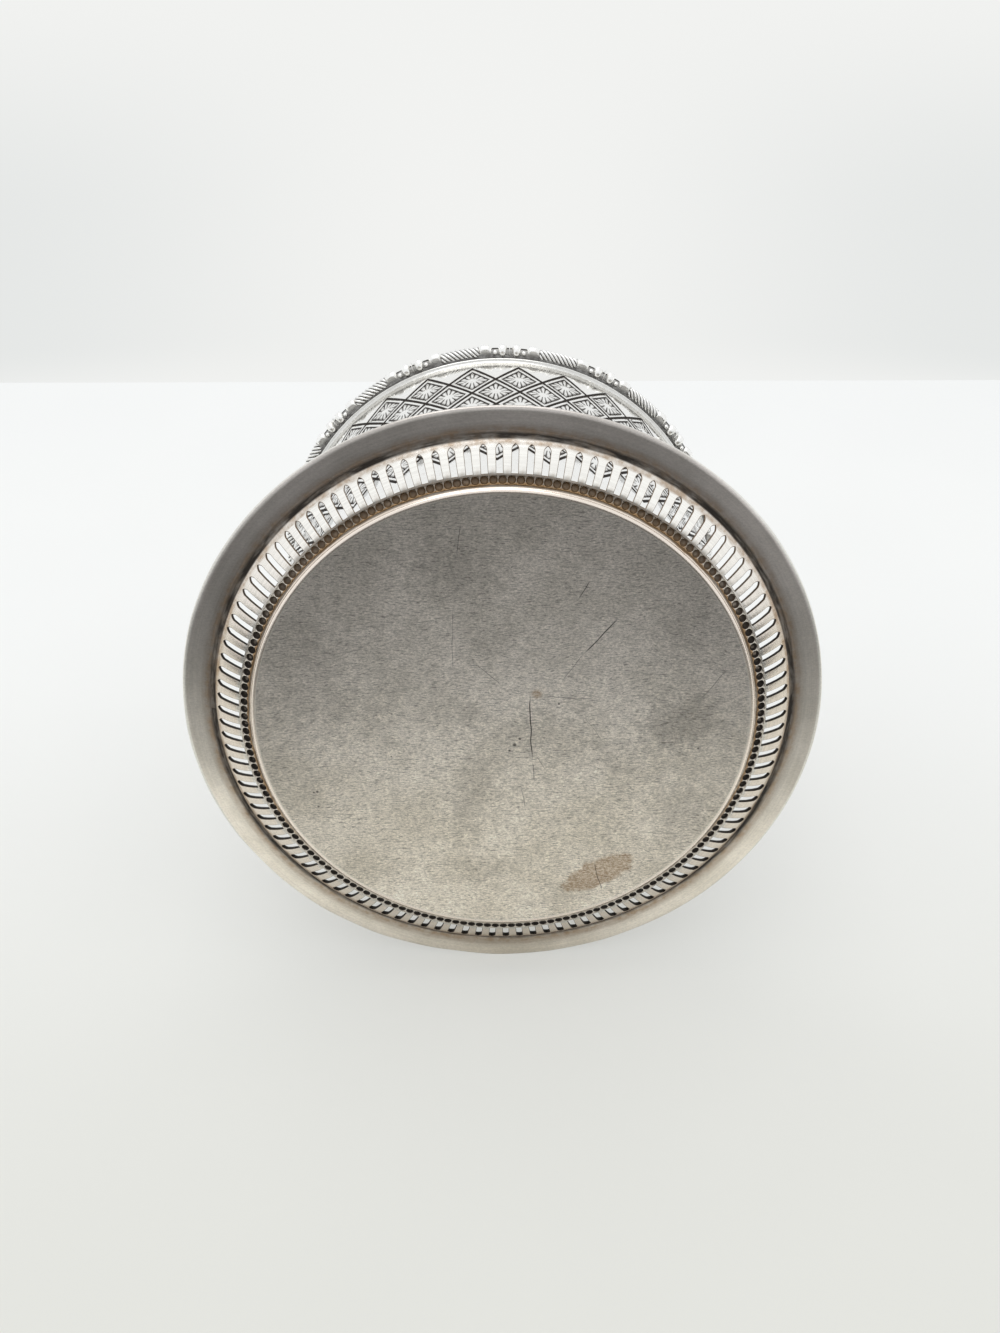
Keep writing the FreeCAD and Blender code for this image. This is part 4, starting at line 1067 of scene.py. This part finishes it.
def add_camera():
    """The photograph's camera, fitted to the flange, the disc and the dimples' spacing."""
    data = bpy.data.cameras.new("photo_camera")
    data.sensor_width = SENSOR
    data.lens = FOCAL_PIXELS / PICTURE_HEIGHT * SENSOR
    data.clip_start = CLIP
    camera = bpy.data.objects.new("photo_camera", data)
    right = Vector(CAMERA_RIGHT)
    up = -Vector(CAMERA_DOWN)
    turn = Matrix((right, up, right.cross(up))).transposed()
    camera.matrix_world = Matrix.Translation(Vector(CAMERA_PLACE) * MM) @ turn.to_4x4()
    bpy.context.scene.collection.objects.link(camera)
    bpy.context.scene.camera = camera


def sheet(name, corners, material):
    mesh = bpy.data.meshes.new(name)
    mesh.from_pydata([Vector(corner) * MM for corner in corners], [], [(0, 1, 2, 3)])
    piece = bpy.data.objects.new(name, mesh)
    mesh.materials.append(material)
    bpy.context.scene.collection.objects.link(piece)


def table_paper():
    """White paper seen only from the side on which the box lies; it keeps part of its shadow."""
    material, net = new_material("table_paper")
    place = net.place()
    split = net.split(place)
    # Painted shade: the table is darker near its front.
    middle = net.mix(net.ramp(split[2], *TABLE_NEARER), TABLE_MIDDLE, TABLE_FRONT)
    lit_tone = net.mix(net.ramp(split[2], *TABLE_FARTHER), middle, TABLE_BACK)
    beyond = net.strongest(net.minus(net.times(split[2], SHADE_PACE), SHADE_START), 0.0)
    aside = net.times(net.minus(split[0], SHADE_MIDDLE), SHADE_ASIDE)
    fall = net.times(beyond, net.plus(net.math("POWER", aside, 2.0), SHADE_LEAST))
    light_left = net.math("DIVIDE", 1.0, net.plus(fall, 1.0))
    tone = net.mix(light_left, TABLE_DIM, lit_tone)
    grain = net.ramp(net.noise(place, *PAPER_CLOUD), *PAPER_TONES)
    glow = net.add("ShaderNodeEmission", {"Color": tone, "Strength": grain}).outputs[0]
    paper = net.add("ShaderNodeBsdfDiffuse", {"Color": tone}).outputs[0]
    lit = net.either(net.times(net.seen(), TABLE_GLOW), paper, glow)
    clear = net.add("ShaderNodeBsdfTransparent").outputs[0]
    behind = net.add("ShaderNodeNewGeometry").outputs["Backfacing"]
    net.add("ShaderNodeOutputMaterial", {"Surface": net.either(behind, lit, clear)})
    return material


def add_table():
    """The table of the photograph: the box lies on it on its side, on the flange's edge."""
    corners = []
    for across, deep in ((1, TABLE_NEAR), (1, TABLE_FAR), (-1, TABLE_FAR), (-1, TABLE_NEAR)):
        low = TABLE_TOUCH - (deep - GALLERY_HEIGHT) * TABLE_SLOPE
        corners.append((across * TABLE_HALF, low, deep))
    sheet("photo_table", corners, table_paper())


def floor_paper():
    """White paper seen only from above, for views of the upright box; no other ray meets it."""
    material, net = new_material("floor_paper")
    paper = net.add("ShaderNodeBsdfDiffuse", {"Color": FLOOR_TONE}).outputs[0]
    clear = net.add("ShaderNodeBsdfTransparent").outputs[0]
    front = net.minus(1.0, net.add("ShaderNodeNewGeometry").outputs["Backfacing"])
    both = net.either(net.times(net.seen(), front), clear, paper)
    net.add("ShaderNodeOutputMaterial", {"Surface": both})
    return material


def add_floor():
    """A level floor just under the standing box."""
    corners = [(across * FLOOR_HALF, deep * FLOOR_HALF, -FLOOR_DROP)
               for across, deep in ((-1, -1), (1, -1), (1, 1), (-1, 1))]
    sheet("rest_floor", corners, floor_paper())


def add_world():
    """Soft daylight all round, with the dark shape of the photographer behind the camera."""
    world = bpy.data.worlds.new("daylight")
    bpy.context.scene.world = world
    world.use_nodes = True
    net = Net(world.node_tree)
    split = net.split(net.add("ShaderNodeTexCoord").outputs["Generated"])
    across = net.math("POWER", net.times(split[0], PERSON_NARROW), 2.0)
    up = net.math("POWER", net.minus(split[1], PERSON_MIDDLE), 2.0)
    away = net.math("SQRT", net.plus(across, up))
    ahead = net.ramp(split[2], *PERSON_AHEAD)
    light = net.strongest(net.ramp(away, PERSON_CORE, PERSON_EDGE), ahead)
    tone = net.mix(light, PERSON_TONE, DAYLIGHT)
    # Painted shade on the backdrop: darker in a band to both sides.
    side = net.ramp(net.math("ABSOLUTE", split[0]), *BACKDROP_ASIDE)
    dark = net.times(side, net.zone(split[1], *BACKDROP_BAND))
    backdrop = net.mix(dark, BACKDROP_MIDDLE, BACKDROP_SIDE)
    lit, seen = [net.add("ShaderNodeBackground", {"Color": color, "Strength": 1.0}).outputs[0]
                 for color in (tone, backdrop)]
    net.add("ShaderNodeOutputWorld", {"Surface": net.either(net.seen(), lit, seen)})


def add_lamp(name, place, size, power):
    data = bpy.data.lights.new(name, "AREA")
    data.size = size
    data.energy = power
    lamp = bpy.data.objects.new(name, data)
    lamp.location = place
    lamp.rotation_euler = (-Vector(place)).to_track_quat("-Z", "Y").to_euler()
    bpy.context.scene.collection.objects.link(lamp)


def add_stage():
    bpy.context.scene.view_settings.view_transform = "Standard"
    add_camera()
    add_table()
    add_floor()
    add_world()
    add_lamp("window", WINDOW_PLACE, WINDOW_SIZE, WINDOW_POWER)


# Each silver's tone, roughness, and how much tarnish its hollows keep at least and at most.
PLAIN_SILVER = ((0.80, 0.78, 0.73, 1.0), 0.2, 0.3, 0.8)
FASTENER_SILVER = ((0.62, 0.60, 0.56, 1.0), 0.3, 0.3, 0.8)
TRELLIS_SILVER = ((0.86, 0.84, 0.79, 1.0), 0.15, 0.9, 1.3)
BORDER_SILVER = ((0.96, 0.945, 0.91, 1.0), 0.25, 0.9, 1.3)
FASTENERS = ("hinge_pin", "knob_washer", "knob_nut")


def dress_cad(frame):
    """The CAD nodes whose shape is right keep it and get the silver that their place calls for."""
    plain = worked_silver("plain_silver", *PLAIN_SILVER)
    fastener = worked_silver("fastener_silver", *FASTENER_SILVER)
    for name, node in frame["nodes"].items():
        for place in node.material_slots:
            place.material = fastener if name in FASTENERS else plain


add_stage()
dress_cad(frame)
undertray(tray_material())
trellis_body(worked_silver("trellis_silver", *TRELLIS_SILVER))
cast_border(worked_silver("border_silver", *BORDER_SILVER))
